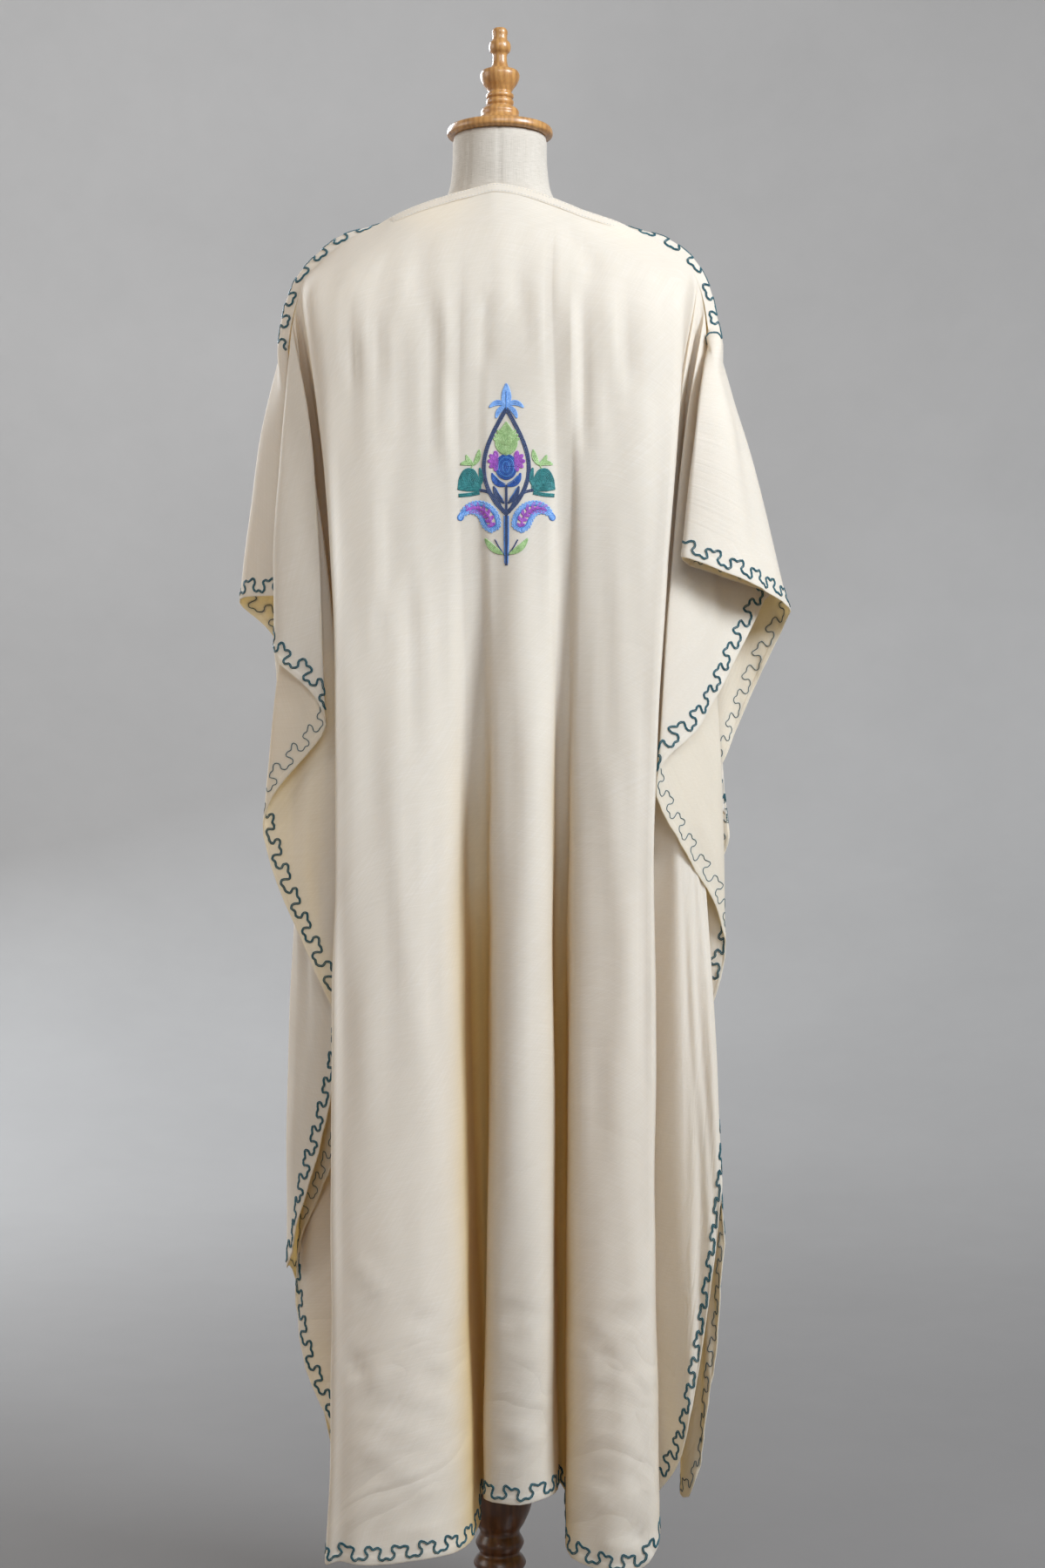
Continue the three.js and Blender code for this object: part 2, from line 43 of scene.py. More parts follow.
# ------------------------------------------------------------------ sizes, mm
CLOTH = 0.8               # crepe
HEM = 1.7                 # where the edge is turned in twice
HEM_WIDTH = 8.6
COLUMN = 10.6              # widest step across a panel
TOP_ROWS = [0, .7, 2, 4, 7, 10.8, 15, 20, 26, 33, 41, 50]
EDGE_ROWS = [36, 29, 24, 20, 17, 14.5, 12, 10.2, 9.2, 8.0, 6.0, 4.0, 2.3, 1.0, .3, 0]
MID_ROWS = 112
ROLL = 9.5                # height of the front's roll beside the shoulder seams

# -------------------------------------------------------------------- tables
LEVELS = [1500, 1380, 1180, 950, 620, 220]
null = None
SEAM_LEFT = np.array([
  [-125, -36, 1584.5, 0, 0.65],
  [-170, -27, 1562, 0, 0.75],
  [-198, -22, 1539, -0.1, 0.8],
  [-211, -20.5, 1525, -0.2, 0.8],
  [-217, -21, 1509, -0.3, 0.8],
  [-221, -23, 1494, -0.5, 0.8],
  [-224.5, -27, 1475, -0.8, 0.9],
  [-227, -30, 1452, -0.9, 1.0]])
SEAM_RIGHT = np.array([
  [135, -34.5, 1581.5, 0, 0.65],
  [172, -27, 1563.5, 0, 0.75],
  [199, -22, 1545, 0.1, 0.8],
  [210, -21, 1532, 0.2, 0.8],
  [216, -21, 1518, 0.3, 0.8],
  [220, -21.5, 1503, 0.6, 0.8],
  [223.5, -26, 1476, 1.1, 0.5],
  [225, -30, 1454, 2.0, -1.0]])
SIDE_APART_LEFT = [-0.7, 1.0]
SIDE_APART_RIGHT = [-0.4, -0.8]
#  name, top, 1500, 1380, 1180, 950, 620, 220, end
BACK_FOLDS = [
  ['l_seam', [-227, -30, 1452], null, [-222, -29], null, null, null, null, [-213, -44, 1182]],
  ['l_a2', [-226, -30, 1458], null, [-227, -37], [-235, -60], null, null, null, [-234, -60, 1133]],
  ['l_a', [-226, -29, 1465], null, [-228, -52], [-235, -84], null, null, null, [-234, -88, 1111]],
  ['l_ab', [-225, -28, 1472], null, [-204, -68], [-186, -107], null, null, null, [-182, -112, 1042]],
  ['l_bc', [-224, -26, 1479], null, [-221, -43], [-226, -74], [-247, -72], null, null, [-249, -72, 924]],
  ['l_ce', [-222, -25, 1487], null, [-208, -55], [-178, -86], [-160, -94], null, null, [-158, -84, 672]],
  ['l_ef', [-220, -23, 1496], null, [-216, -28], [-206, -8], [-206, 8], [-213, 4], null, [-220, 0, 466]],
  ['l_fm', [-219, -22, 1502], null, [-204, -37], [-185, -38], [-175, -30], [-190, -20], null, [-210, -10, 346]],
  ['l_val', [-217, -22, 1509], null, [-195, -54], [-162, -72], [-144, -68], [-139, -50], null, [-148, -58, 222]],
  ['l_main', [-210, -21, 1526], [-205, -62], [-190, -88], [-173, -114], [-170, -130], [-171, -140], [-175, -152], [-177, -153, 183]],
  ['m0', [-170, -27, 1562], [-174, -82], [-169, -100], [-162, -120], [-159, -140], [-159, -153], [-160, -168], [-162, -169, 186]],
  ['m1', [-125, -37, 1585], [-137, -94], [-136, -109], [-131, -123], [-126, -143], [-125, -162], [-126, -178], [-128, -178, 185]],
  ['m2', [-88, -45, 1600], [-96, -98], [-94, -111], [-90, -121], [-85, -141], [-77, -159], [-71, -174], [-71, -174, 191]],
  ['v1a', [-50, -51, 1611], [-56, -102], [-57, -112], [-55, -115], [-50, -123], [-40, -130], [-29, -140], [-28, -140, 196]],
  ['v1l', [-32, -54, 1615], [-36, -103], [-39, -111], [-36, -107], [-32, -94], [-25, -58], null, [-18, -50, 223]],
  ['v1r', [-16, -56, 1619], [-19, -104], [-23, -111], [-19, -106], [-15, -94], [-10, -60], null, [-8, -52, 229]],
  ['c1', [-2, -57, 1621], [-3, -105], [-8, -113], [-5, -115], [-4, -124], [-8, -128], null, [-13, -132, 238]],
  ['c2', [24, -56, 1617], [19, -105], [19, -115], [23, -122], [25, -142], [25, -150], null, [22, -152, 238]],
  ['c3', [50, -52, 1609], [45, -104], [46, -113], [51, -115], [54, -124], [55, -130], null, [57, -134, 245]],
  ['v2l', [62, -50, 1605], [58, -103], [61, -110], [62, -106], [60, -94], [59, -58], null, [59, -50, 232]],
  ['v2r', [76, -48, 1600], [73, -102], [75, -110], [74, -105], [73, -94], [73, -58], null, [72, -50, 223]],
  ['r1', [92, -45, 1594], [90, -100], [90, -112], [86, -116], [80, -124], [76, -134], [72, -142], [72, -142, 188]],
  ['r2', [135, -35, 1582], [129, -94], [132, -108], [126, -122], [120, -143], [118, -158], [115, -174], [114, -174, 176]],
  ['r2b', [172, -28, 1564], [168, -82], [169, -100], [157, -120], [149, -140], [148, -155], [147, -170], [147, -170, 180]],
  ['r3', [206, -22, 1541], [197, -64], [190, -90], [174, -114], [162, -130], [162, -142], [165, -152], [165, -153, 205]],
  ['r_val', [214, -22, 1526], null, [187, -54], [158, -68], [144, -62], [153, -50], null, [166, -60, 217]],
  ['r_fm', [216, -22, 1520], null, [193, -56], [182, -78], [187, -76], [194, -84], null, [199, -92, 301]],
  ['r_ef', [218, -22, 1514], null, [198, -46], [197, -66], [213, -58], [233, -82], null, [234, -86, 564]],
  ['r_ce', [220, -22, 1505], null, [196, -36], [187, -50], [197, -34], null, null, [202, -44, 658]],
  ['r_bc', [221, -23, 1496], null, [208, -36], [223, -46], [240, -42], null, null, [242, -42, 812]],
  ['r_ab', [222, -25, 1487], null, [201, -68], [179, -99], null, null, null, [166, -108, 974]],
  ['r_am', [223, -26, 1478], null, [213, -58], [222, -77], null, null, null, [220, -82, 1052]],
  ['r_a', [224, -28, 1470], null, [229, -38], null, null, null, null, [286, -30, 1179]],
  ['r_a2', [225, -29, 1462], null, [232, -50], null, null, null, null, [290, -46, 1185]],
  ['r_seam', [225, -30, 1454], null, [217, -76], null, null, null, null, [200, -109, 1208]],
]
#  name, top, over, 1500, 1380, 1180, 950, 620, 220, end
FRONT_FOLDS = [
  ['l_seam', [-227, -30, 1452], null, null, [-222, -29], null, null, null, null, [-213, -44, 1182]],
  ['l_mid', [-228, -26, 1462], null, null, [-237, -26], null, null, null, null, [-245, -36, 1183]],
  ['l_a', [-227, -22, 1476], [-229, -12, 1476], null, [-257, 2], null, null, null, null, [-284, 8, 1178]],
  ['l_ab', [-224, -20, 1490], [-228, -4, 1488], null, [-250, 20], null, null, null, null, [-244, 12, 1132]],
  ['l_bc', [-222, -20, 1498], [-228, 2, 1496], null, [-251, 40], [-254, 54], null, null, null, [-239, 16, 1028]],
  ['l_bm', [-221, -20, 1502], [-226, 3, 1501], null, [-236, 12], [-231, -4], [-216, -50], null, null, [-208, -58, 878]],
  ['l_cd', [-219, -20, 1506], [-224, 3, 1506], null, [-223, -10], [-210, -32], [-182, -72], null, null, [-173, -72, 692]],
  ['l_d', [-216, -20, 1514], [-220, 8, 1515], null, [-229, 26], [-220, 22], [-220, 2], [-223, -26], null, [-225, -24, 474]],
  ['l_dm', [-213, -20, 1521], [-217, 10, 1522], null, [-221, 50], [-217, 48], [-221, 30], [-228, 22], null, [-224, 22, 432]],
  ['l_val', [-210, -20, 1527], [-213, 12, 1528], null, [-209, 70], [-205, 62], [-193, 42], [-186, 44], null, [-175, 30, 200]],
  ['l_main', [-196, -22, 1540], [-198, 10, 1545], [-204, 34], [-204, 82], [-202, 104], [-201, 116], [-196, 124], null, [-186, 130, 212]],
  ['n0', [-170, -26, 1561], [-172, 12, 1567], [-181, 60], [-178, 102], [-174, 122], [-175, 138], [-174, 150], [-173, 160], [-173, 162, 206]],
  ['n1', [-125, -36, 1584], [-126, 12, 1590], [-138, 78], [-142, 118], [-141, 130], [-137, 140], [-136, 158], [-135, 172], [-135, 172, 202]],
  ['n2', [-101, 19, 1584], null, [-99, 92], [-105, 130], [-105, 134], [-101, 136], [-98, 146], [-96, 158], [-96, 158, 206]],
  ['n3', [-74, 58, 1556], null, [-66, 104], [-71, 134], [-75, 132], [-73, 128], [-72, 100], null, [-71, 80, 216]],
  ['n4', [-50, 84, 1534], null, [-43, 110], [-49, 135], [-51, 134], [-47, 136], [-45, 142], [-46, 150], [-46, 152, 208]],
  ['n5', [-22, 100, 1512], null, [-15, 110], [-17, 132], [-15, 136], [-13, 146], [-14, 160], [-14, 172], [-14, 174, 203]],
  ['n6', [0, 104, 1500], null, [2, 109], [3, 131], [7, 134], [9, 136], [9, 128], null, [9, 118, 208]],
  ['n7', [22, 100, 1512], null, [25, 110], [25, 132], [29, 132], [31, 126], [31, 96], null, [31, 78, 216]],
  ['n8', [50, 84, 1534], null, [54, 110], [55, 135], [57, 134], [61, 136], [63, 142], [65, 148], [65, 150, 207]],
  ['n9', [74, 58, 1556], null, [80, 104], [85, 134], [89, 136], [93, 144], [95, 158], [98, 170], [98, 172, 202]],
  ['n10', [104, 18, 1580], null, [111, 92], [120, 128], [124, 130], [129, 136], [131, 144], [135, 150], [135, 152, 206]],
  ['n11', [135, -34, 1581], [136, 12, 1587], [138, 78], [150, 114], [154, 124], [160, 134], [165, 148], [170, 158], [170, 158, 203]],
  ['n12', [172, -27, 1563], [174, 12, 1569], [180, 56], [188, 98], [191, 114], [194, 126], [197, 138], [201, 146], [201, 146, 207]],
  ['n13', [198, -22, 1545], [201, 10, 1550], [201, 26], [213, 76], [213, 92], [212, 104], [215, 112], null, [219, 112, 212]],
  ['r_val', [208, -20, 1532], [212, 10, 1534], null, [212, 56], [198, 60], [190, 36], [195, 20], null, [198, 4, 207]],
  ['r_f', [211, -20, 1526], [215, 9, 1528], null, [215, 42], [205, 48], [203, 26], [215, -2], null, [213, -34, 239]],
  ['r_e', [213, -20, 1521], [218, 8, 1522], null, [218, 27], [214, 30], [216, 20], [232, -26], null, [239, -44, 476]],
  ['r_de', [215, -20, 1516], [220, 7, 1517], null, [213, 13], [198, 14], [198, -2], null, null, [214, -12, 781]],
  ['r_d', [217, -20, 1511], [222, 6, 1511], null, [222, 12], [228, 18], [249, 5], null, null, [251, 5, 928]],
  ['r_g', [219, -20, 1505], [224, 4, 1504], null, [215, -6], [206, -14], null, null, null, [220, -12, 975]],
  ['r_g2', [220, -20, 1499], [225, 3, 1498], null, [228, -2], [237, -8], null, null, null, [240, -12, 999]],
  ['r_h', [221, -21, 1492], [226, 0, 1490], null, [240, 2], [268, 2], null, null, null, [273, -2, 1075]],
  ['r_b', [222, -22, 1486], [227, -4, 1484], null, [254, -4], null, null, null, null, [306, -14, 1148]],
  ['r_a', [223, -24, 1479], [227, -12, 1477], null, [256, -30], null, null, null, null, [309, -46, 1169]],
  ['r_m', [224, -26, 1470], null, null, [244, -72], null, null, null, null, [270, -98, 1189]],
  ['r_m2', [225, -28, 1463], null, null, [227, -88], null, null, null, null, [226, -121, 1205]],
  ['r_fold', [225, -30, 1458], null, null, [210, -90], null, null, null, null, [191, -121, 1216]],
  ['r_seam', [225, -30, 1454], null, null, [216, -78], null, null, null, null, [200, -111, 1208]],
]
NECK_BACK = ("m1", "r2")
NECK_FRONT = ("n1", "n11")
#  height, half width, front depth, back depth
TORSO = np.array([
  [858, 150, 84, 78],
  [872, 158, 92, 84],
  [940, 161, 96, 86],
  [1030, 148, 90, 80],
  [1120, 122, 80, 70],
  [1200, 128, 98, 78],
  [1290, 150, 119, 92],
  [1370, 165, 114, 98],
  [1440, 176, 96, 96],
  [1495, 181, 78, 88],
  [1530, 172, 58, 76],
  [1553, 148, 38, 64],
  [1572, 114, 26, 60],
  [1588, 86, 27, 56],
  [1606, 66, 36, 52],
  [1626, 55.5, 47, 50.5],
  [1650, 52, 51, 51],
  [1684, 51.3, 51.3, 51.3],
], float)
#  radius, height
CAP = [
  [0, 1684.4], [54, 1684.4], [57.3, 1686.5], [57.6, 1690], [56.4, 1693.4], [50, 1695.2],
  [38, 1698.4], [24, 1703.6], [20.6, 1708.5], [20.8, 1712.6], [18, 1716.4], [13.4, 1718.6],
  [14.9, 1721.2], [14.9, 1724.4], [13, 1726.2], [14.9, 1728.2], [14.9, 1731.2], [12.8, 1733.2],
  [14.6, 1737.5], [18.6, 1743], [21, 1748.5], [21.4, 1753.2], [19.4, 1756.8], [12.6, 1758.2],
  [9.2, 1762.5], [7.8, 1769.5], [8.2, 1775.5], [11, 1778.8], [12, 1783], [11.2, 1787.6],
  [8.2, 1791.4], [7.9, 1794], [8.1, 1801.6], [6.4, 1803.6], [0, 1804.2],
]
POST = [
  [0, 42.4], [34, 42.4], [34, 47], [25, 52], [20, 62], [19, 84], [22, 98], [27.5, 104],
  [29.4, 110], [27.5, 116], [22, 120], [25.5, 125.5], [28.6, 132], [25.5, 138.5], [21.6, 143],
  [24.4, 148.5], [26.4, 154.4], [24, 160], [21.6, 164.5], [27, 176], [34, 193], [36, 208],
  [34, 224], [27, 242], [21, 256], [18.5, 270], [22.4, 277], [22.4, 285], [18, 292],
  [17.5, 420], [18.5, 600], [20, 780], [24, 832], [42, 848], [46, 857.6], [0, 857.6],
]
BASE = [
  [0, 0], [176, 0], [184, 3], [187, 9], [184, 15.4], [176, 18.4], [150, 20.6], [112, 24],
  [84, 29], [66, 34.5], [60, 38.4], [54, 41], [40, 42], [0, 42],
]

# Soft creases and ridges, listed in the picture's own coordinates as seen
# from behind (1200 x 1800): from, to, half width, depth (a ridge is negative),
# and the folds between which the cloth lies.
#  x0, y0, x1, y1, width, depth, from fold, to fold
BACK_CREASES = [
  (494, 316, 498, 520, 9.0, 2.2, "m0", "c1"),
  (511, 326, 514, 560, 8.5, -1.8, "m0", "c2"),
  (560, 330, 556, 430, 9.0, 1.3, "m2", "c2"),
  (388, 1540, 430, 1602, 7.5, 1.9, "m0", "m2"),
  (466, 1566, 526, 1600, 7.5, 2.1, "m0", "v1a"),
  (388, 1606, 534, 1642, 8.0, 2.0, "m0", "v1a"),
  (394, 1646, 506, 1720, 8.0, -1.8, "m0", "v1a"),
  (396, 1716, 462, 1658, 7.5, 1.8, "m0", "m2"),
  (444, 1752, 540, 1716, 7.5, 1.8, "m0", "v1a"),
  (400, 1440, 452, 1500, 8.0, -1.4, "m0", "m2"),
  (568, 1584, 626, 1606, 7.0, 1.7, "c1", "c3"),
  (574, 1640, 620, 1662, 7.0, -1.6, "c1", "c3"),
  (660, 1514, 708, 1566, 7.5, 1.9, "r1", "r3"),
  (678, 1610, 736, 1560, 7.5, 1.8, "r1", "r3"),
  (664, 1642, 740, 1668, 7.5, -1.6, "r1", "r3"),
  (668, 1690, 722, 1728, 7.5, 1.9, "r1", "r3"),
  (651, 300, 655, 520, 8.5, -1.9, "c2", "r2b"),
  (669, 318, 673, 560, 9.0, 2.1, "c2", "r2b"),
  (703, 322, 712, 500, 8.0, -1.6, "c3", "r3"),
  (436, 296, 418, 330, 4.0, -1.1, "m0", "m2"),
  (398, 322, 409, 470, 7.0, 1.9, "l_main", "m1"),
  (412, 330, 424, 560, 9.0, -1.5, "l_main", "m1"),
  (470, 300, 455, 372, 5.0, -0.9, "m0", "m2"),
  (432, 350, 440, 450, 5.0, 1.4, "m0", "m2"),
  (452, 352, 446, 520, 6.0, -1.1, "m0", "m2"),
  (395, 370, 398, 395, 4.0, 0.9, "m0", "m1"),
  (395, 395, 391, 412, 4.0, 0.9, "m0", "m1"),
  (536, 330, 568, 374, 4.0, 0.8, "m2", "c1"),
  (540, 345, 571, 381, 4.0, -0.8, "m2", "c1"),
  (590, 300, 612, 420, 8.0, 1.0, "c1", "c3"),
  (640, 250, 690, 330, 9.0, 1.1, "c3", "r2b"),
  (672, 262, 702, 300, 5.0, -1.0, "c3", "r2b"),
  (700, 330, 735, 470, 9.0, 1.6, "r1", "r3"),
  (722, 360, 748, 520, 9.0, -1.2, "r2", "r3"),
  (690, 300, 760, 330, 7.5, -1.2, "r1", "r3"),
  (440, 560, 446, 700, 6.0, 1.2, "m0", "m2"),
  (433, 690, 437, 745, 4.0, 1.1, "m0", "m2"),
  (470, 620, 474, 900, 9.0, 1.5, "m0", "v1a"),
  (455, 860, 463, 1180, 8.0, -1.0, "m0", "m2"),
  (497, 900, 500, 1250, 7.0, 0.9, "m1", "v1a"),
  (612, 700, 606, 980, 8.0, -1.1, "c1", "c3"),
  (590, 760, 588, 1100, 8.0, 1.0, "c1", "c2"),
  (622, 1040, 630, 1420, 8.0, 0.9, "c2", "c3"),
  (700, 620, 706, 940, 9.0, 1.4, "r1", "r2b"),
  (728, 740, 722, 1180, 8.0, -1.0, "r2", "r3"),
  (748, 1000, 752, 1400, 7.0, 0.9, "r2", "r3"),
  (690, 1150, 688, 1500, 8.0, 1.0, "r1", "r2"),
  (455, 1512, 512, 1520, 7.5, 2.1, "m0", "v1a"),
  (470, 1538, 505, 1534, 7.5, -1.5, "m0", "v1a"),
  (440, 1600, 500, 1592, 7.5, 1.8, "m0", "v1a"),
  (560, 1505, 640, 1516, 7.5, 2.1, "c1", "c3"),
  (570, 1560, 628, 1552, 7.5, -1.8, "c1", "c3"),
  (580, 1622, 640, 1634, 7.5, 2.1, "c1", "c3"),
  (556, 1668, 600, 1660, 7.5, 1.5, "c1", "c3"),
  (680, 1518, 752, 1510, 7.5, 2.1, "r1", "r3"),
  (684, 1576, 742, 1590, 7.5, -1.5, "r1", "r3"),
  (672, 1690, 742, 1700, 7.5, 2.2, "r1", "r3"),
  (690, 1722, 760, 1716, 7.5, -1.5, "r1", "r3"),
  (686, 1756, 748, 1766, 7.5, 2.2, "r1", "r3"),
  (330, 900, 352, 1080, 6.0, 1.1, "l_a", "l_bc"),
  (352, 980, 366, 1180, 6.0, -0.8, "l_ab", "l_ce"),
  (372, 700, 360, 860, 7.0, 1.0, "l_ab", "l_ce"),
  (812, 620, 840, 700, 6.0, 1.2, "r_ab", "r_a2"),
  (800, 880, 818, 1000, 6.0, 0.9, "r_ef", "r_ab"),
]
# The same for the front, in the picture that a camera before it would take.
FRONT_CREASES = [
  (404, 330, 420, 520, 8.0, 1.8, "n13", "r_d"),
  (450, 340, 462, 560, 8.0, -1.4, "n10", "n13"),
  (505, 420, 488, 600, 8.0, 1.2, "n8", "n11"),
  (560, 430, 548, 640, 8.0, 1.1, "n6", "n9"),
  (600, 440, 604, 660, 9.0, -1.1, "n5", "n7"),
  (652, 420, 668, 640, 8.0, 1.4, "n2", "n5"),
  (700, 350, 722, 560, 8.0, 1.5, "n0", "n3"),
  (742, 360, 750, 600, 8.0, -1.2, "l_main", "n1"),
  (470, 700, 474, 1060, 9.0, 1.1, "n9", "n12"),
  (520, 860, 516, 1240, 8.0, -0.9, "n8", "n10"),
  (580, 760, 586, 1180, 8.0, 1.0, "n5", "n8"),
  (640, 900, 636, 1300, 8.0, -1.0, "n3", "n5"),
  (700, 720, 708, 1140, 8.0, 1.1, "n1", "n3"),
  (732, 960, 728, 1380, 8.0, 0.9, "n0", "n1"),
  (455, 1530, 520, 1540, 7.5, 2.1, "n9", "n12"),
  (566, 1560, 640, 1550, 7.5, -1.8, "n4", "n8"),
  (672, 1520, 740, 1530, 7.5, 2.1, "n0", "n3"),
  (600, 1640, 660, 1650, 7.5, 2.1, "n3", "n6"),
  (470, 1690, 540, 1682, 7.5, 2.1, "n9", "n12"),
]

# Meander of the border over one repeat: share of the repeat, height in mm.
MEANDER = [
  (0.08, -2.6), (-0.01, 2.4), (0.06, 6.4), (0.18, 5.6), (0.30, 3.4), (0.45, 4.6),
  (0.585, 2.6), (0.53, -1.6), (0.51, -5.6), (0.62, -8.0), (0.78, -6.0), (0.93, -6.8),
  (1.03, -4.6),
]
REPEAT = 28.5
BORDER = 12.4             # middle of the border from the edge

# ------------------------------------------------------------------- helpers
def unit(a):
    l = np.linalg.norm(a, axis=-1, keepdims=True)
    return a / np.where(l < 1e-9, 1, l)

def smooth(x, a, b):
    t = np.clip((np.asarray(x, float) - a) / (b - a), 0, 1)
    return t * t * (3 - 2 * t)

def along(points, share):
    """Smooth curve through points, by chord length, at shares from 0 to 1."""
    P = np.asarray(points, float)
    s = np.concatenate([[0], np.cumsum(np.linalg.norm(np.diff(P, axis=0), axis=1))])
    x = np.asarray(share, float) * s[-1]
    h = np.diff(s)
    d = np.diff(P, axis=0) / h[:, None]
    m = np.empty_like(P)
    m[0], m[-1] = d[0], d[-1]
    m[1:-1] = (d[:-1] * h[1:, None] + d[1:] * h[:-1, None]) / (h[1:] + h[:-1])[:, None]
    i = np.clip(np.searchsorted(s, x, side="right") - 1, 0, len(h) - 1)
    u = ((x - s[i]) / h[i])[:, None]
    hh = h[i][:, None]
    return (P[i] * (2 * u**3 - 3 * u**2 + 1) + m[i] * hh * (u**3 - 2 * u**2 + u)
            + P[i + 1] * (3 * u**2 - 2 * u**3) + m[i + 1] * hh * (u**3 - u**2))

def across(C, u):
    """Smooth interpolation from fold to fold; C is folds x rows x 3."""
    n = len(C)
    i = np.clip(np.floor(u).astype(int), 0, n - 2)
    f = (u - i).reshape(-1, 1, 1)
    p1, p2 = C[i], C[i + 1]
    p0 = np.where((i < 1).reshape(-1, 1, 1), 2 * p1 - p2, C[np.clip(i - 1, 0, n - 1)])
    p3 = np.where((i > n - 3).reshape(-1, 1, 1), 2 * p2 - p1, C[np.clip(i + 2, 0, n - 1)])
    return 0.5 * (2 * p1 + (p2 - p0) * f + (2 * p0 - 5 * p1 + 4 * p2 - p3) * f**2
                  + (3 * p1 - p0 - 3 * p2 + p3) * f**3)

def row_distances(length):
    top, low = np.array(TOP_ROWS, float), length - np.array(EDGE_ROWS, float)
    k = np.linspace(0, 1, MID_ROWS + 2)[1:-1]
    return np.concatenate([top, top[-1] + (low[0] - top[-1]) * k, low])

def nearest(seam, p):
    line = along(seam, np.linspace(0, 1, 900))
    return line[np.argmin(((line[None, :, :3] - p[:, None]) ** 2).sum(2), axis=1)]

def grid_normals(P, side):
    du, dv = np.gradient(P, axis=0), np.gradient(P, axis=1)
    return unit(np.cross(du, dv)) * side

def ripple(x, y, seed, sizes):
    """Uneven low waves: a sum of sines whose lengths and directions differ."""
    rng = np.random.default_rng(seed)
    out = np.zeros_like(x)
    for lx, ly, amp, count in sizes:
        for _ in range(count):
            kx = 2 * math.pi / (lx * rng.uniform(0.75, 1.35)) * rng.choice([-1, 1])
            ky = 2 * math.pi / (ly * rng.uniform(0.7, 1.4))
            out += amp / math.sqrt(count) * np.sin(kx * x + ky * y + rng.uniform(0, 6.283))
    return out

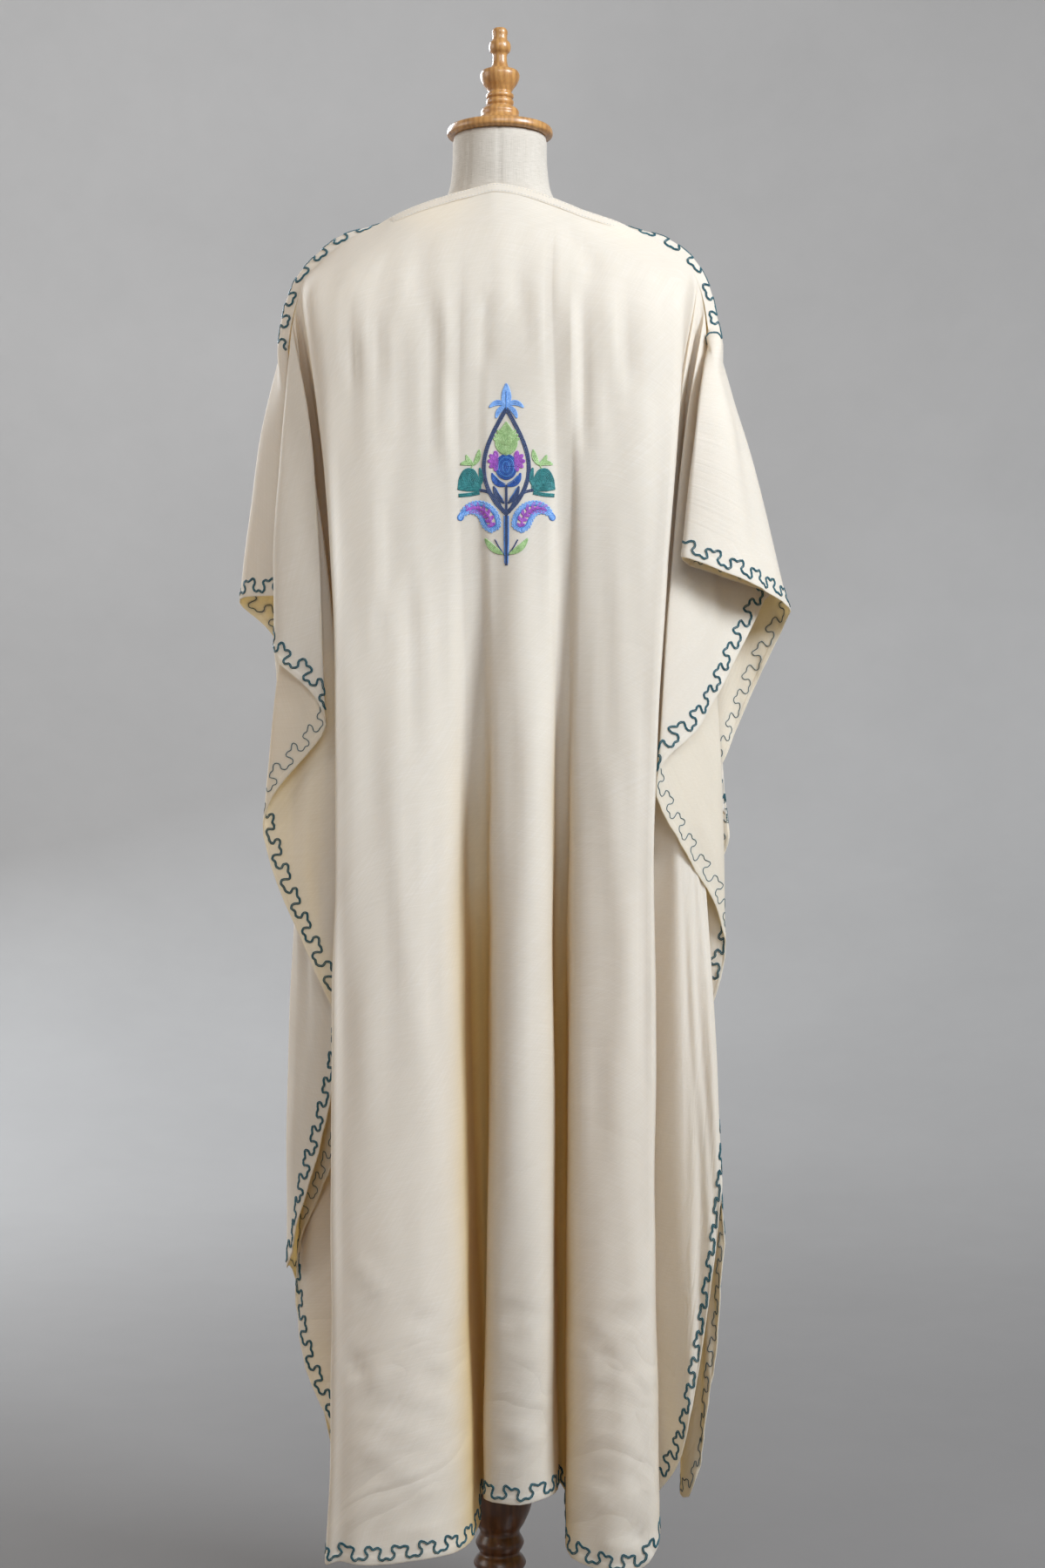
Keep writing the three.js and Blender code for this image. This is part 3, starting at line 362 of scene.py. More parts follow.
class Panel:
    """One panel of cloth as a grid of points: columns from its left edge to its
    right edge as seen from behind, rows from its seam down to its edge."""

    def __init__(self, rows, has_over, neck, side, creases, seed):
        self.names = [r[0] for r in rows]
        lines = []
        for r in rows:
            rest = list(r[2:])
            over = rest.pop(0) if has_over else None
            end = rest.pop()
            pts = [r[1]] + ([over] if over else [])
            pts += [[p[0], p[1], z] for p, z in zip(rest, LEVELS) if p]
            pts.append(end)
            dense = along(pts, np.linspace(0, 1, 700))
            s = np.concatenate([[0], np.cumsum(np.linalg.norm(np.diff(dense, axis=0), axis=1))])
            d = row_distances(s[-1])
            lines.append(np.stack([np.interp(d, s, dense[:, k]) for k in range(3)], 1))
        T = np.stack(lines)
        span = np.linalg.norm(np.diff(T, axis=0), axis=2).max(axis=1)
        us = [0.0]
        for i, w in enumerate(span):
            n = max(2, math.ceil(w / COLUMN))
            us += [i + (k + 1) / n for k in range(n)]
        self.u = np.array(us)
        P = across(T, self.u)
        u0, u1 = self.names.index(neck[0]), self.names.index(neck[1])
        self.neck = (int(np.argmin(abs(self.u - u0))), int(np.argmin(abs(self.u - u1))))
        self.side = side
        # the seam edge, with its shift let out over the next 40 mm
        down = np.concatenate([np.zeros((len(P), 1)), np.cumsum(np.linalg.norm(np.diff(P, axis=1), axis=2), axis=1)], 1)
        for mask, seam in ((self.u <= u0, SEAM_LEFT), (self.u >= u1, SEAM_RIGHT)):
            q = nearest(seam, P[mask, 0])
            target = q[:, :3].copy()
            target[:, 0] += q[:, 3] * side
            target[:, 1] += q[:, 4] * side
            shift = target - P[mask, 0]
            w = 1 - smooth(down[mask], 0, 42)
            P[mask] += shift[:, None] * w[..., None]
        # the side seams' own clearance
        over_w = np.concatenate([np.zeros((1, P.shape[1])), np.cumsum(np.linalg.norm(np.diff(P, axis=0), axis=2), axis=0)])
        for tip, apart, dist in ((SEAM_LEFT[-1, 3:], SIDE_APART_LEFT, over_w), (SEAM_RIGHT[-1, 3:], SIDE_APART_RIGHT, over_w[-1] - over_w)):
            k = np.clip(down / 70, 0, 1)[..., None]
            move = (np.array(tip) * (1 - k) + np.array(apart) * k) * side
            fall = np.exp(-(dist / 9.0) ** 2)[..., None] * (down > 0.1)[..., None]
            P[..., :2] += move * fall
        self.P = P
        self.measure()
        self.relief(creases, seed)
        self.measure()

    def measure(self):
        P = self.P
        step = np.linalg.norm(np.diff(P, axis=1), axis=2)
        z = np.zeros((len(P), 1))
        self.down = np.concatenate([z, np.cumsum(step, axis=1)], 1)
        self.up = self.down[:, -1:] - self.down
        wide = np.linalg.norm(np.diff(P, axis=0), axis=2)
        self.wide = np.concatenate([np.zeros((1, P.shape[1])), np.cumsum(wide, axis=0)])
        self.N = grid_normals(P, self.side)

    def relief(self, creases, seed):
        P, N = self.P, self.N
        x, y, z = P[..., 0], P[..., 1], P[..., 2]
        # picture coordinates of each point, from behind or from before
        if self.side < 0:
            depth = y + 2660
            px = 600 + 2800 * (x - 24.7) / depth
        else:
            depth = 2660 - y
            px = 600 - 2800 * (x - 0) / depth
        py = 900 - 2800 * (z - 980) / depth
        U = np.broadcast_to(self.u[:, None], px.shape)
        rng = np.random.default_rng(seed)
        D = np.zeros_like(px)
        for x0, y0, x1, y1, w, deep, a, b in creases:
            ua, ub = self.names.index(a), self.names.index(b)
            if ua > ub:
                ua, ub = ub, ua
            n = 7
            k = np.linspace(0, 1, n)
            bend = rng.uniform(-1, 1) * 0.03
            L = math.hypot(x1 - x0, y1 - y0)
            nx, ny = -(y1 - y0) / L, (x1 - x0) / L
            off = bend * L * np.sin(math.pi * k) + rng.uniform(-.35, .35, n) * w * 0.5
            cx, cy = x0 + (x1 - x0) * k + nx * off, y0 + (y1 - y0) * k + ny * off
            best, pos = np.full(px.shape, 1e9), np.zeros(px.shape)
            for j in range(n - 1):
                dx, dy = cx[j + 1] - cx[j], cy[j + 1] - cy[j]
                t = np.clip(((px - cx[j]) * dx + (py - cy[j]) * dy) / (dx * dx + dy * dy), 0, 1)
                d = np.hypot(px - cx[j] - t * dx, py - cy[j] - t * dy)
                near = d < best
                best = np.where(near, d, best)
                pos = np.where(near, (j + t) / (n - 1), pos)
            taper = smooth(pos, 0, .3) * smooth(1 - pos, 0, .3) * (0.8 + 0.2 * np.sin(9 * pos + x0))
            mask = smooth(U, ua - .3, ua + .5) * smooth(-U, -(ub + .3), -(ub - .5))
            D -= 1.5 * deep * (np.exp(-(best / w) ** 2) - 0.35 * np.exp(-((best - 1.9 * w) / w) ** 2)) * taper * mask
        # faint waves of the whole cloth, kept low near the seams
        mean = self.wide.mean(1, keepdims=True)
        s = np.broadcast_to(mean, px.shape)
        spread = np.clip(np.gradient(self.wide, axis=0) / np.gradient(mean, axis=0), 0, 1)
        r = ripple(s, self.down, seed + 1, [(58, 620, .95, 5), (36, 300, .42, 5), (150, 900, 1.0, 3), (90, 150, .40, 6)])
        free = smooth(self.down, 8, 130) * spread ** 2
        D += r * free
        if self.side > 0:
            # beside the shoulder seams the front stands up in a soft roll
            s = mean[:, 0]
            a, b = self.neck
            out = np.maximum(smooth(s[a] - s, 6, 46), smooth(s - s[b], 6, 46))[:, None]
            D += ROLL * out * smooth(self.down, 0, 11) * (1 - smooth(self.down, 15, 62))
        # the sewn border draws the edge into small uneven puckers
        e = np.concatenate([[0], np.cumsum(np.linalg.norm(np.diff(P[:, -1], axis=0), axis=1))])
        rim = np.exp(-(self.up / 22.0) ** 2)
        pucker = ripple(np.broadcast_to(e[:, None], px.shape), self.up, seed + 2, [(27, 1e6, .55, 4), (64, 1e6, .7, 3), (15, 1e6, .22, 4)])
        D += pucker * rim * smooth(self.down, 20, 90)
        # close layers stay apart
        edge = np.minimum(self.wide, self.wide[-1] - self.wide)
        D *= smooth(edge, 0, 25)
        P = P + N * D[..., None]
        # and the cloth stays on the form, never in it
        z = P[..., 2]
        w, f, b = (np.interp(z, TORSO[:, 0], TORSO[:, k]) for k in (1, 2, 3))
        deep = np.where(P[..., 1] > 0, f, b)
        rho = np.hypot(P[..., 0] / w, P[..., 1] / deep)
        reach = np.hypot(P[..., 0], P[..., 1]) / np.maximum(rho, 1e-6)
        need = 1 + 3.6 / reach
        inside = (z > TORSO[0, 0] - 25) & (z < 1580) & (rho < need)
        P[..., :2] *= np.where(inside, need / np.maximum(rho, .5), 1)[..., None]
        self.P = P

    def valley_shade_mask(self):
        """How deep each point lies between the folds beside it, from 0 to 1: the mask of the painted shade in the
        valleys.
        """
        h = self.P[..., 1] * self.side
        n = len(h)
        top = h.copy()
        for k in range(1, 8):
            top[k:] = np.maximum(top[k:], h[:n - k])
            top[:n - k] = np.maximum(top[:n - k], h[k:])
        v = smooth(top - h, 13, 52)
        k = np.array([1, 2, 3, 2, 1]) / 9
        pad = np.pad(v, ((2, 2), (0, 0)), mode="edge")
        v = sum(w * pad[i:i + n] for i, w in enumerate(k))
        a, b = (self.names.index(k) for k in (("l_val", "r3") if self.side < 0 else ("n0", "n13")))
        v = v * (smooth(self.u, a - .8, a + .2) * smooth(-self.u, -b - .6, -b + .4))[:, None]
        return v if self.side < 0 else v * smooth(self.down, 330, 620)

    def at(self, col, up):
        """Point and outward normal at a column number and a distance from the edge."""
        col = np.clip(np.asarray(col, float), 0, len(self.u) - 1.0001)
        i = np.floor(col).astype(int)
        f = (col - i)[:, None]
        out = []
        rows = np.arange(self.P.shape[1])
        for k in (i, i + 1):
            r = np.array([np.interp(d, self.up[c, ::-1], rows[::-1]) for c, d in zip(k, up)])
            r = np.clip(r, 0, self.P.shape[1] - 1.001)
            j = np.floor(r).astype(int)
            g = (r - j)[:, None]
            out.append((self.P[k, j] * (1 - g) + self.P[k, j + 1] * g, self.N[k, j] * (1 - g) + self.N[k, j + 1] * g))
        P = out[0][0] * (1 - f) + out[1][0] * f
        N = unit(out[0][1] * (1 - f) + out[1][1] * f)
        return P, N

    def at_top(self, col, down):
        """The same at a distance below the seam edge."""
        col = np.clip(np.asarray(col, float), 0, len(self.u) - 1.0001)
        i = np.floor(col).astype(int)
        f = (col - i)[:, None]
        out = []
        rows = np.arange(self.P.shape[1])
        for k in (i, i + 1):
            r = np.array([np.interp(d, self.down[c], rows) for c, d in zip(k, down)])
            r = np.clip(r, 0, self.P.shape[1] - 1.001)
            j = np.floor(r).astype(int)
            g = (r - j)[:, None]
            out.append((self.P[k, j] * (1 - g) + self.P[k, j + 1] * g, self.N[k, j] * (1 - g) + self.N[k, j + 1] * g))
        return out[0][0] * (1 - f) + out[1][0] * f, unit(out[0][1] * (1 - f) + out[1][1] * f)

# ---------------------------------------------------------------- mesh makers
def to_frame(P):
    Q = np.array(P, float).reshape(-1, 3)
    Q[:, 0] += AXIS_X
    return Q * 0.001

def add_mesh(name, verts, faces, materials, uv=None, face_material=None, smooth_faces=True, convert=True, fold=None):
    """verts in mm from the stand's axis; faces a list of arrays, all quads or all triangles."""
    V = to_frame(verts) if convert else np.asarray(verts, float)
    me = bpy.data.meshes.new(name)
    loops = np.concatenate([np.asarray(f, int).ravel() for f in faces])
    sizes = np.concatenate([np.full(len(f), np.asarray(f).shape[1]) for f in faces])
    me.vertices.add(len(V))
    me.vertices.foreach_set("co", V.astype(np.float32).ravel())
    me.loops.add(len(loops))
    me.loops.foreach_set("vertex_index", loops.astype(np.int32))
    me.polygons.add(len(sizes))
    me.polygons.foreach_set("loop_start", np.concatenate([[0], np.cumsum(sizes)[:-1]]).astype(np.int32))
    me.polygons.foreach_set("loop_total", sizes.astype(np.int32))
    for m in materials:
        me.materials.append(m)
    if face_material is not None:
        me.polygons.foreach_set("material_index", np.asarray(face_material, np.int32))
    me.polygons.foreach_set("use_smooth", np.full(len(sizes), smooth_faces))
    if uv is not None:
        layer = me.uv_layers.new(name="cloth")
        layer.data.foreach_set("uv", np.asarray(uv, np.float32)[loops].ravel())
    # a per-point mask for the painted shade between the folds
    if fold is not None:
        layer = me.attributes.new("fold", "FLOAT", "POINT")
        layer.data.foreach_set("value", np.asarray(fold, np.float32))
    me.update(calc_edges=True)
    me.validate()
    ob = bpy.data.objects.new(name, me)
    bpy.context.scene.collection.objects.link(ob)
    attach(ob, "root")
    return ob

def shell(outer, inner):
    """Closed shell between two grids of points: vertices and quads."""
    n, m = outer.shape[:2]
    V = np.concatenate([outer.reshape(-1, 3), inner.reshape(-1, 3)])
    I = np.arange(n * m).reshape(n, m)
    J = I + n * m
    q = lambda a, b, c, d: np.stack([a.ravel(), b.ravel(), c.ravel(), d.ravel()], 1)
    F = [q(I[:-1, :-1], I[1:, :-1], I[1:, 1:], I[:-1, 1:]),
         q(J[:-1, :-1], J[:-1, 1:], J[1:, 1:], J[1:, :-1]),
         q(I[:-1, 0], J[:-1, 0], J[1:, 0], I[1:, 0]),
         q(I[:-1, -1], I[1:, -1], J[1:, -1], J[:-1, -1]),
         q(I[0, :-1], I[0, 1:], J[0, 1:], J[0, :-1]),
         q(I[-1, :-1], J[-1, :-1], J[-1, 1:], I[-1, 1:])]
    return V, F

def outward(V, F):
    """The faces, turned if need be so that the closed shape's volume is positive."""
    vol = 0.0
    for f in F:
        a, b, c, d = (V[f[:, k]] for k in range(4))
        vol += (np.cross(b, c) * a).sum() + (np.cross(c, d) * a).sum()
    return F if vol > 0 else [f[:, ::-1] for f in F]

class Strands:
    """Many thin closed threads gathered in one mesh."""

    def __init__(self):
        self.V, self.F, self.M, self.n = [], [], [], 0

    def add(self, Q, N, half_w, half_h, lift=0.0, side=0.0, sides=4, mat=0):
        """A thread along points Q lying on a surface with normals N."""
        Q, N = np.asarray(Q, float), unit(np.asarray(N, float))
        if len(Q) < 2:
            return
        T = unit(np.gradient(Q, axis=0))
        B = unit(np.cross(T, N))
        N = unit(np.cross(B, T))
        n = len(Q)
        one = np.ones(n)
        c = Q + B * (side * one)[:, None] + N * (lift * one)[:, None]
        ang = 2 * math.pi * (np.arange(sides) + 0.5) / sides
        hw, hh = half_w * one, half_h * one
        ring = c[:, None] + B[:, None] * (hw[:, None] * np.cos(ang))[..., None] + N[:, None] * (hh[:, None] * np.sin(ang))[..., None]
        I = self.n + np.arange(n * sides).reshape(n, sides)
        nxt = np.roll(I, -1, axis=1)
        q = np.stack([I[:-1].ravel(), I[1:].ravel(), nxt[1:].ravel(), nxt[:-1].ravel()], 1)
        self.V.append(ring.reshape(-1, 3))
        caps = [I[0][None], I[-1][::-1][None]]
        self.F.append(q)
        self.M.append(np.full(len(q), mat))
        for k in caps:
            self.F.append(k)
            self.M.append(np.full(len(k), mat))
        self.n += n * sides

    def mesh(self, name, materials):
        V = np.concatenate(self.V)
        return add_mesh(name, V, self.F, materials, face_material=np.concatenate(self.M))

def resample(Q, step):
    """Points, with anything else carried in further columns, at even steps."""
    s = np.concatenate([[0], np.cumsum(np.linalg.norm(np.diff(Q[:, :3], axis=0), axis=1))])
    n = max(2, int(round(s[-1] / step)) + 1)
    x = np.linspace(0, s[-1], n)
    return np.stack([np.interp(x, s, Q[:, k]) for k in range(Q.shape[1])], 1), x

def spline(points, per=10):
    """Smooth curve through 2-D points, evenly by chord."""
    P = np.asarray(points, float)
    P3 = np.concatenate([P, np.zeros((len(P), 1))], 1) if P.shape[1] == 2 else P
    return along(P3, np.linspace(0, 1, per * (len(P) - 1) + 1))[:, :P.shape[1]]

def meander(length, seed):
    """The border's line over a length: distance along, height about its middle."""
    rng = np.random.default_rng(seed)
    n = int(round(length / REPEAT))
    pts = []
    for i in range(n):
        for fx, fy in MEANDER[:-1]:
            pts.append((i + fx + rng.uniform(-.012, .012), fy * rng.uniform(.93, 1.07) + rng.uniform(-.35, .35)))
    P = np.array(pts)
    P[:, 0] = (P[:, 0] + 0.08) * length / (n + 0.1)
    C = spline(P, 8)
    return C[(C[:, 0] > 1.5) & (C[:, 0] < length - 1.5)]

def chain(strands, Q, N, reach=0.80, half=0.66, link=3.4, lift=0.35, phase=0.0, mat=0):
    """A line of chain stitch: two threads that part and meet at every link."""
    Q, N = np.asarray(Q), np.asarray(N)
    s = np.concatenate([[0], np.cumsum(np.linalg.norm(np.diff(Q, axis=0), axis=1))])
    w = np.abs(np.sin(math.pi * (s / link + phase)))
    for k in (-1, 1):
        strands.add(Q, N, half * (0.86 + 0.2 * w), half * (0.8 + 0.2 * w), lift=lift + 0.12 * w, side=k * reach * (0.66 + 0.34 * w), mat=mat)

def edge_line(panel, line, lo, hi):
    """Turns (distance along the edge, distance from it) into columns and distances up the folds."""
    P = panel.P
    E = P[:, -1]
    s = np.concatenate([[0], np.cumsum(np.linalg.norm(np.diff(E, axis=0), axis=1))])
    T = unit(np.gradient(E, axis=0))
    j = int(np.argmin(np.abs(np.array(EDGE_ROWS) - 20))) - len(EDGE_ROWS)
    F = unit(P[:, j] - E)
    c = (F * T).sum(1)
    k = np.exp(-0.5 * (np.arange(-6, 7) / 3.0) ** 2)
    c = np.convolve(np.pad(c, 6, mode="edge"), k / k.sum(), "valid")
    c = np.clip(c, -0.93, 0.93)
    target, d = line[:, 0] + lo, line[:, 1]
    col = np.interp(target, s, np.arange(len(s)))
    for _ in range(25):
        cc = np.interp(col, np.arange(len(s)), c)
        want = target - d / np.sqrt(1 - cc**2) * cc
        col = 0.5 * col + 0.5 * np.interp(want, s, np.arange(len(s)))
    cc = np.interp(col, np.arange(len(s)), c)
    return col, d / np.sqrt(1 - cc**2)

# ----------------------------------------------------------------- materials
def material(name):
    m = bpy.data.materials.new(name)
    m.use_nodes = True
    nt = m.node_tree
    nt.nodes.clear()
    out = nt.nodes.new("ShaderNodeOutputMaterial")
    p = nt.nodes.new("ShaderNodeBsdfPrincipled")
    nt.links.new(p.outputs[0], out.inputs[0])
    return m, nt, p, out

def node(nt, kind, **values):
    n = nt.nodes.new(kind)
    for k, v in values.items():
        if hasattr(n, k) and k not in n.inputs:
            setattr(n, k, v)
        else:
            n.inputs[k.replace("_", " ")].default_value = v
    return n

def noise(nt, vector, scale, detail=4.0, rough=0.55):
    n = nt.nodes.new("ShaderNodeTexNoise")
    n.inputs["Scale"].default_value = scale
    n.inputs["Detail"].default_value = detail
    n.inputs["Roughness"].default_value = rough
    if vector is not None:
        nt.links.new(vector, n.inputs["Vector"])
    return n.outputs["Fac"]

def scaled(nt, vector, scale):
    n = nt.nodes.new("ShaderNodeMapping")
    n.inputs["Scale"].default_value = scale
    nt.links.new(vector, n.inputs["Vector"])
    return n.outputs["Vector"]

def ramp(nt, fac, stops):
    n = nt.nodes.new("ShaderNodeValToRGB")
    e = n.color_ramp.elements
    e[0].position, e[0].color = stops[0][0], (*stops[0][1], 1)
    e[1].position, e[1].color = stops[-1][0], (*stops[-1][1], 1)
    for pos, col in stops[1:-1]:
        x = e.new(pos)
        x.color = (*col, 1)
    nt.links.new(fac, n.inputs["Fac"])
    return n.outputs["Color"]

def mixed(nt, fac, a, b, mode="MIX"):
    n = nt.nodes.new("ShaderNodeMix")
    n.data_type, n.blend_type = "RGBA", mode
    for sock, v in (("Factor", fac),):
        if isinstance(v, (int, float)):
            n.inputs[0].default_value = v
        else:
            nt.links.new(v, n.inputs[0])
    for k, v in ((6, a), (7, b)):
        if isinstance(v, tuple):
            n.inputs[k].default_value = (*v, 1)
        else:
            nt.links.new(v, n.inputs[k])
    return n.outputs[2]

def maths(nt, op, a, b=None):
    n = nt.nodes.new("ShaderNodeMath")
    n.operation = op
    for k, v in ((0, a), (1, b)):
        if v is None:
            continue
        if isinstance(v, (int, float)):
            n.inputs[k].default_value = v
        else:
            nt.links.new(v, n.inputs[k])
    return n.outputs[0]

def bump(nt, height, strength, distance, normal=None):
    n = nt.nodes.new("ShaderNodeBump")
    n.inputs["Strength"].default_value = strength
    n.inputs["Distance"].default_value = distance
    nt.links.new(height, n.inputs["Height"])
    if normal is not None:
        nt.links.new(normal, n.inputs["Normal"])
    return n.outputs["Normal"]

def cloth_material(name, colour, light, through, share):
    """Plain-weave crepe: threads along both ways of the cloth, with slubs."""
    m, nt, p, out = material(name)
    uv = nt.nodes.new("ShaderNodeUVMap")
    uv.uv_map = "cloth"
    v = uv.outputs["UV"]                      # metres along the cloth
    warp = noise(nt, scaled(nt, v, (2300, 70, 1)), 1.0, 3, .6)
    weft = noise(nt, scaled(nt, v, (60, 2100, 1)), 1.0, 3, .6)
    slub_a = noise(nt, scaled(nt, v, (520, 9, 1)), 1.0, 2, .5)
    slub_b = noise(nt, scaled(nt, v, (26, 640, 1)), 1.0, 2, .5)
    thread = maths(nt, "ADD", warp, weft)
    slub = maths(nt, "ADD", slub_a, slub_b)
    broad = noise(nt, scaled(nt, v, (7, 5, 1)), 1.0, 3, .5)
    c1 = ramp(nt, maths(nt, "MULTIPLY", slub, .5), [(.34, tuple(c * .96 for c in colour)), (.5, colour), (.66, light)])
    c2 = mixed(nt, ramp(nt, broad, [(.35, (0, 0, 0)), (.7, (1, 1, 1))]), c1, mixed(nt, .5, c1, tuple(c * .95 for c in colour)), "MIX")
    c3 = mixed(nt, .16, c2, ramp(nt, maths(nt, "MULTIPLY", thread, .5), [(.35, (.55, .5, .42)), (.65, (1, 1, 1))]), "MULTIPLY")
    at = nt.nodes.new("ShaderNodeAttribute")     # painted shade: warmer, darker ochre where the cloth lies deep between folds
    at.attribute_name = "fold"
    c3 = mixed(nt, at.outputs["Fac"], c3, mixed(nt, 1.0, c3, (1.0, .78, .37), "MULTIPLY"))
    nt.links.new(c3, p.inputs["Base Color"])
    n1 = bump(nt, thread, .28, .00030)
    n2 = bump(nt, slub, .12, .0005, n1)
    # soft crumples, most in the lower third where the cloth was folded away
    co = nt.nodes.new("ShaderNodeTexCoord").outputs["Object"]
    sep = nt.nodes.new("ShaderNodeSeparateXYZ")
    nt.links.new(co, sep.inputs[0])
    low = ramp(nt, sep.outputs[2], [(.22, (1, 1, 1)), (.50, (.22, .22, .22)), (.95, (.10, .10, .10))])
    fold_n = nt.nodes.new("ShaderNodeTexNoise")
    fold_n.inputs["Scale"].default_value = 1.0
    fold_n.inputs["Detail"].default_value = 1.6
    fold_n.inputs["Roughness"].default_value = .5
    fold_n.inputs["Distortion"].default_value = .35
    nt.links.new(scaled(nt, v, (8, 13, 1)), fold_n.inputs["Vector"])
    ridge = maths(nt, "ABSOLUTE", maths(nt, "SUBTRACT", fold_n.outputs["Fac"], .5))
    ridge = maths(nt, "MINIMUM", maths(nt, "MULTIPLY", ridge, 7.0), 1.0)
    crumple = maths(nt, "MULTIPLY", ridge, low)
    n2 = bump(nt, crumple, .34, .0040, n2)
    nt.links.new(n2, p.inputs["Normal"])
    p.inputs["Roughness"].default_value = .68
    p.inputs["Specular IOR Level"].default_value = .28
    p.inputs["Sheen Weight"].default_value = .16
    p.inputs["Sheen Roughness"].default_value = .45
    p.inputs["Sheen Tint"].default_value = (1, .97, .92, 1)
    t = nt.nodes.new("ShaderNodeBsdfTranslucent")
    t.inputs["Color"].default_value = (*through, 1)
    nt.links.new(n2, t.inputs["Normal"])
    mix = nt.nodes.new("ShaderNodeMixShader")
    mix.inputs[0].default_value = share
    nt.links.new(p.outputs[0], mix.inputs[1])
    nt.links.new(t.outputs[0], mix.inputs[2])
    nt.links.new(mix.outputs[0], out.inputs[0])
    return m

def thread_material(name, dark, light, rough=.52):
    """Stranded embroidery thread: streaks of lighter and darker fibre."""
    m, nt, p, out = material(name)
    geo = nt.nodes.new("ShaderNodeTexCoord")
    n = noise(nt, geo.outputs["Object"], 900, 3, .6)
    b = noise(nt, geo.outputs["Object"], 160, 3, .6)
    c = ramp(nt, n, [(.32, dark), (.68, light)])
    c = mixed(nt, .35, c, ramp(nt, b, [(.35, dark), (.65, light)]))
    nt.links.new(c, p.inputs["Base Color"])
    nt.links.new(bump(nt, n, .35, .0004), p.inputs["Normal"])
    p.inputs["Roughness"].default_value = rough
    p.inputs["Specular IOR Level"].default_value = .35
    p.inputs["Sheen Weight"].default_value = .2
    p.inputs["Sheen Roughness"].default_value = .4
    return m

def linen_material():
    m, nt, p, out = material("form_linen_weave")
    uv = nt.nodes.new("ShaderNodeUVMap")
    uv.uv_map = "cloth"
    v = uv.outputs["UV"]
    warp = noise(nt, scaled(nt, v, (1500, 40, 1)), 1.0, 3, .6)
    weft = noise(nt, scaled(nt, v, (40, 1500, 1)), 1.0, 3, .6)
    thread = maths(nt, "ADD", warp, weft)
    blot = noise(nt, scaled(nt, v, (14, 11, 1)), 1.0, 4, .55)
    c = ramp(nt, maths(nt, "MULTIPLY", thread, .5), [(.34, (.42, .36, .29)), (.5, (.56, .49, .41)), (.68, (.67, .60, .52))])
    c = mixed(nt, .2, c, ramp(nt, blot, [(.3, (.44, .38, .31)), (.7, (.67, .61, .53))]))
    nt.links.new(c, p.inputs["Base Color"])
    nt.links.new(bump(nt, thread, .5, .0005), p.inputs["Normal"])
    p.inputs["Roughness"].default_value = .86
    p.inputs["Specular IOR Level"].default_value = .2
    p.inputs["Sheen Weight"].default_value = .12
    return m

def wood_material(name, dark, mid, light, rough, coat, ring=55.0):
    """Turned wood: grain along the axis, fine pores, a varnish coat."""
    m, nt, p, out = material(name)
    co = nt.nodes.new("ShaderNodeTexCoord").outputs["Object"]
    warp = noise(nt, scaled(nt, co, (3, 3, 1.2)), 2.0, 3, .5)
    grain = noise(nt, scaled(nt, co, (95, 95, 6)), 1.0, 6, .62)
    fine = noise(nt, scaled(nt, co, (700, 700, 18)), 1.0, 3, .6)
    wave = nt.nodes.new("ShaderNodeTexWave")
    wave.wave_type, wave.bands_direction = "BANDS", "X"
    wave.inputs["Scale"].default_value = ring
    wave.inputs["Distortion"].default_value = 7.0
    wave.inputs["Detail"].default_value = 3.0
    wave.inputs["Detail Scale"].default_value = 1.2
    nt.links.new(scaled(nt, co, (1, 1, .08)), wave.inputs["Vector"])
    c = ramp(nt, grain, [(.3, dark), (.5, mid), (.72, light)])
    c = mixed(nt, .38, c, ramp(nt, wave.outputs["Fac"], [(.1, dark), (.55, mid), (.95, light)]))
    c = mixed(nt, .25, c, ramp(nt, warp, [(.35, dark), (.65, light)]))
    c = mixed(nt, .22, c, ramp(nt, fine, [(.38, tuple(x * .4 for x in dark)), (.55, light)]), "MULTIPLY")
    nt.links.new(c, p.inputs["Base Color"])
    nt.links.new(bump(nt, maths(nt, "ADD", grain, fine), .18, .0006), p.inputs["Normal"])
    p.inputs["Roughness"].default_value = rough
    p.inputs["Coat Weight"].default_value = coat
    p.inputs["Coat Roughness"].default_value = .22
    return m

CREPE = cloth_material("kaftan_crepe", (.86, .815, .745), (.91, .875, .825), (.96, .79, .43), .40)
TEAL = thread_material("border_thread", (.003, .036, .050), (.017, .125, .150))
TEAL_THIN = thread_material("border_thread_reverse", (.008, .035, .042), (.03, .10, .115))
SKY = thread_material("thread_sky_blue", (.060, .17, .46), (.30, .50, .82))
NAVY = thread_material("thread_navy", (.016, .026, .070), (.055, .085, .19))
LIME = thread_material("thread_leaf_green", (.14, .26, .070), (.48, .64, .31))
VIOLET = thread_material("thread_violet", (.14, .020, .22), (.46, .13, .53))
MID_BLUE = thread_material("thread_mid_blue", (.022, .090, .30), (.085, .26, .62))
ROYAL = thread_material("thread_royal_blue", (.010, .035, .20), (.035, .14, .46))
SEA = thread_material("thread_sea_green", (.004, .065, .075), (.045, .27, .26))
LINEN_THREAD = thread_material("seam_thread", (.55, .50, .42), (.80, .76, .68), .7)
LINEN = linen_material()
LIGHT_WOOD = wood_material("turned_light_wood", (.25, .100, .022), (.50, .245, .068), (.68, .38, .125), .36, .35)
DARK_WOOD = wood_material("turned_dark_wood", (.040, .013, .003), (.125, .044, .009), (.23, .090, .022), .38, .4, 34.0)

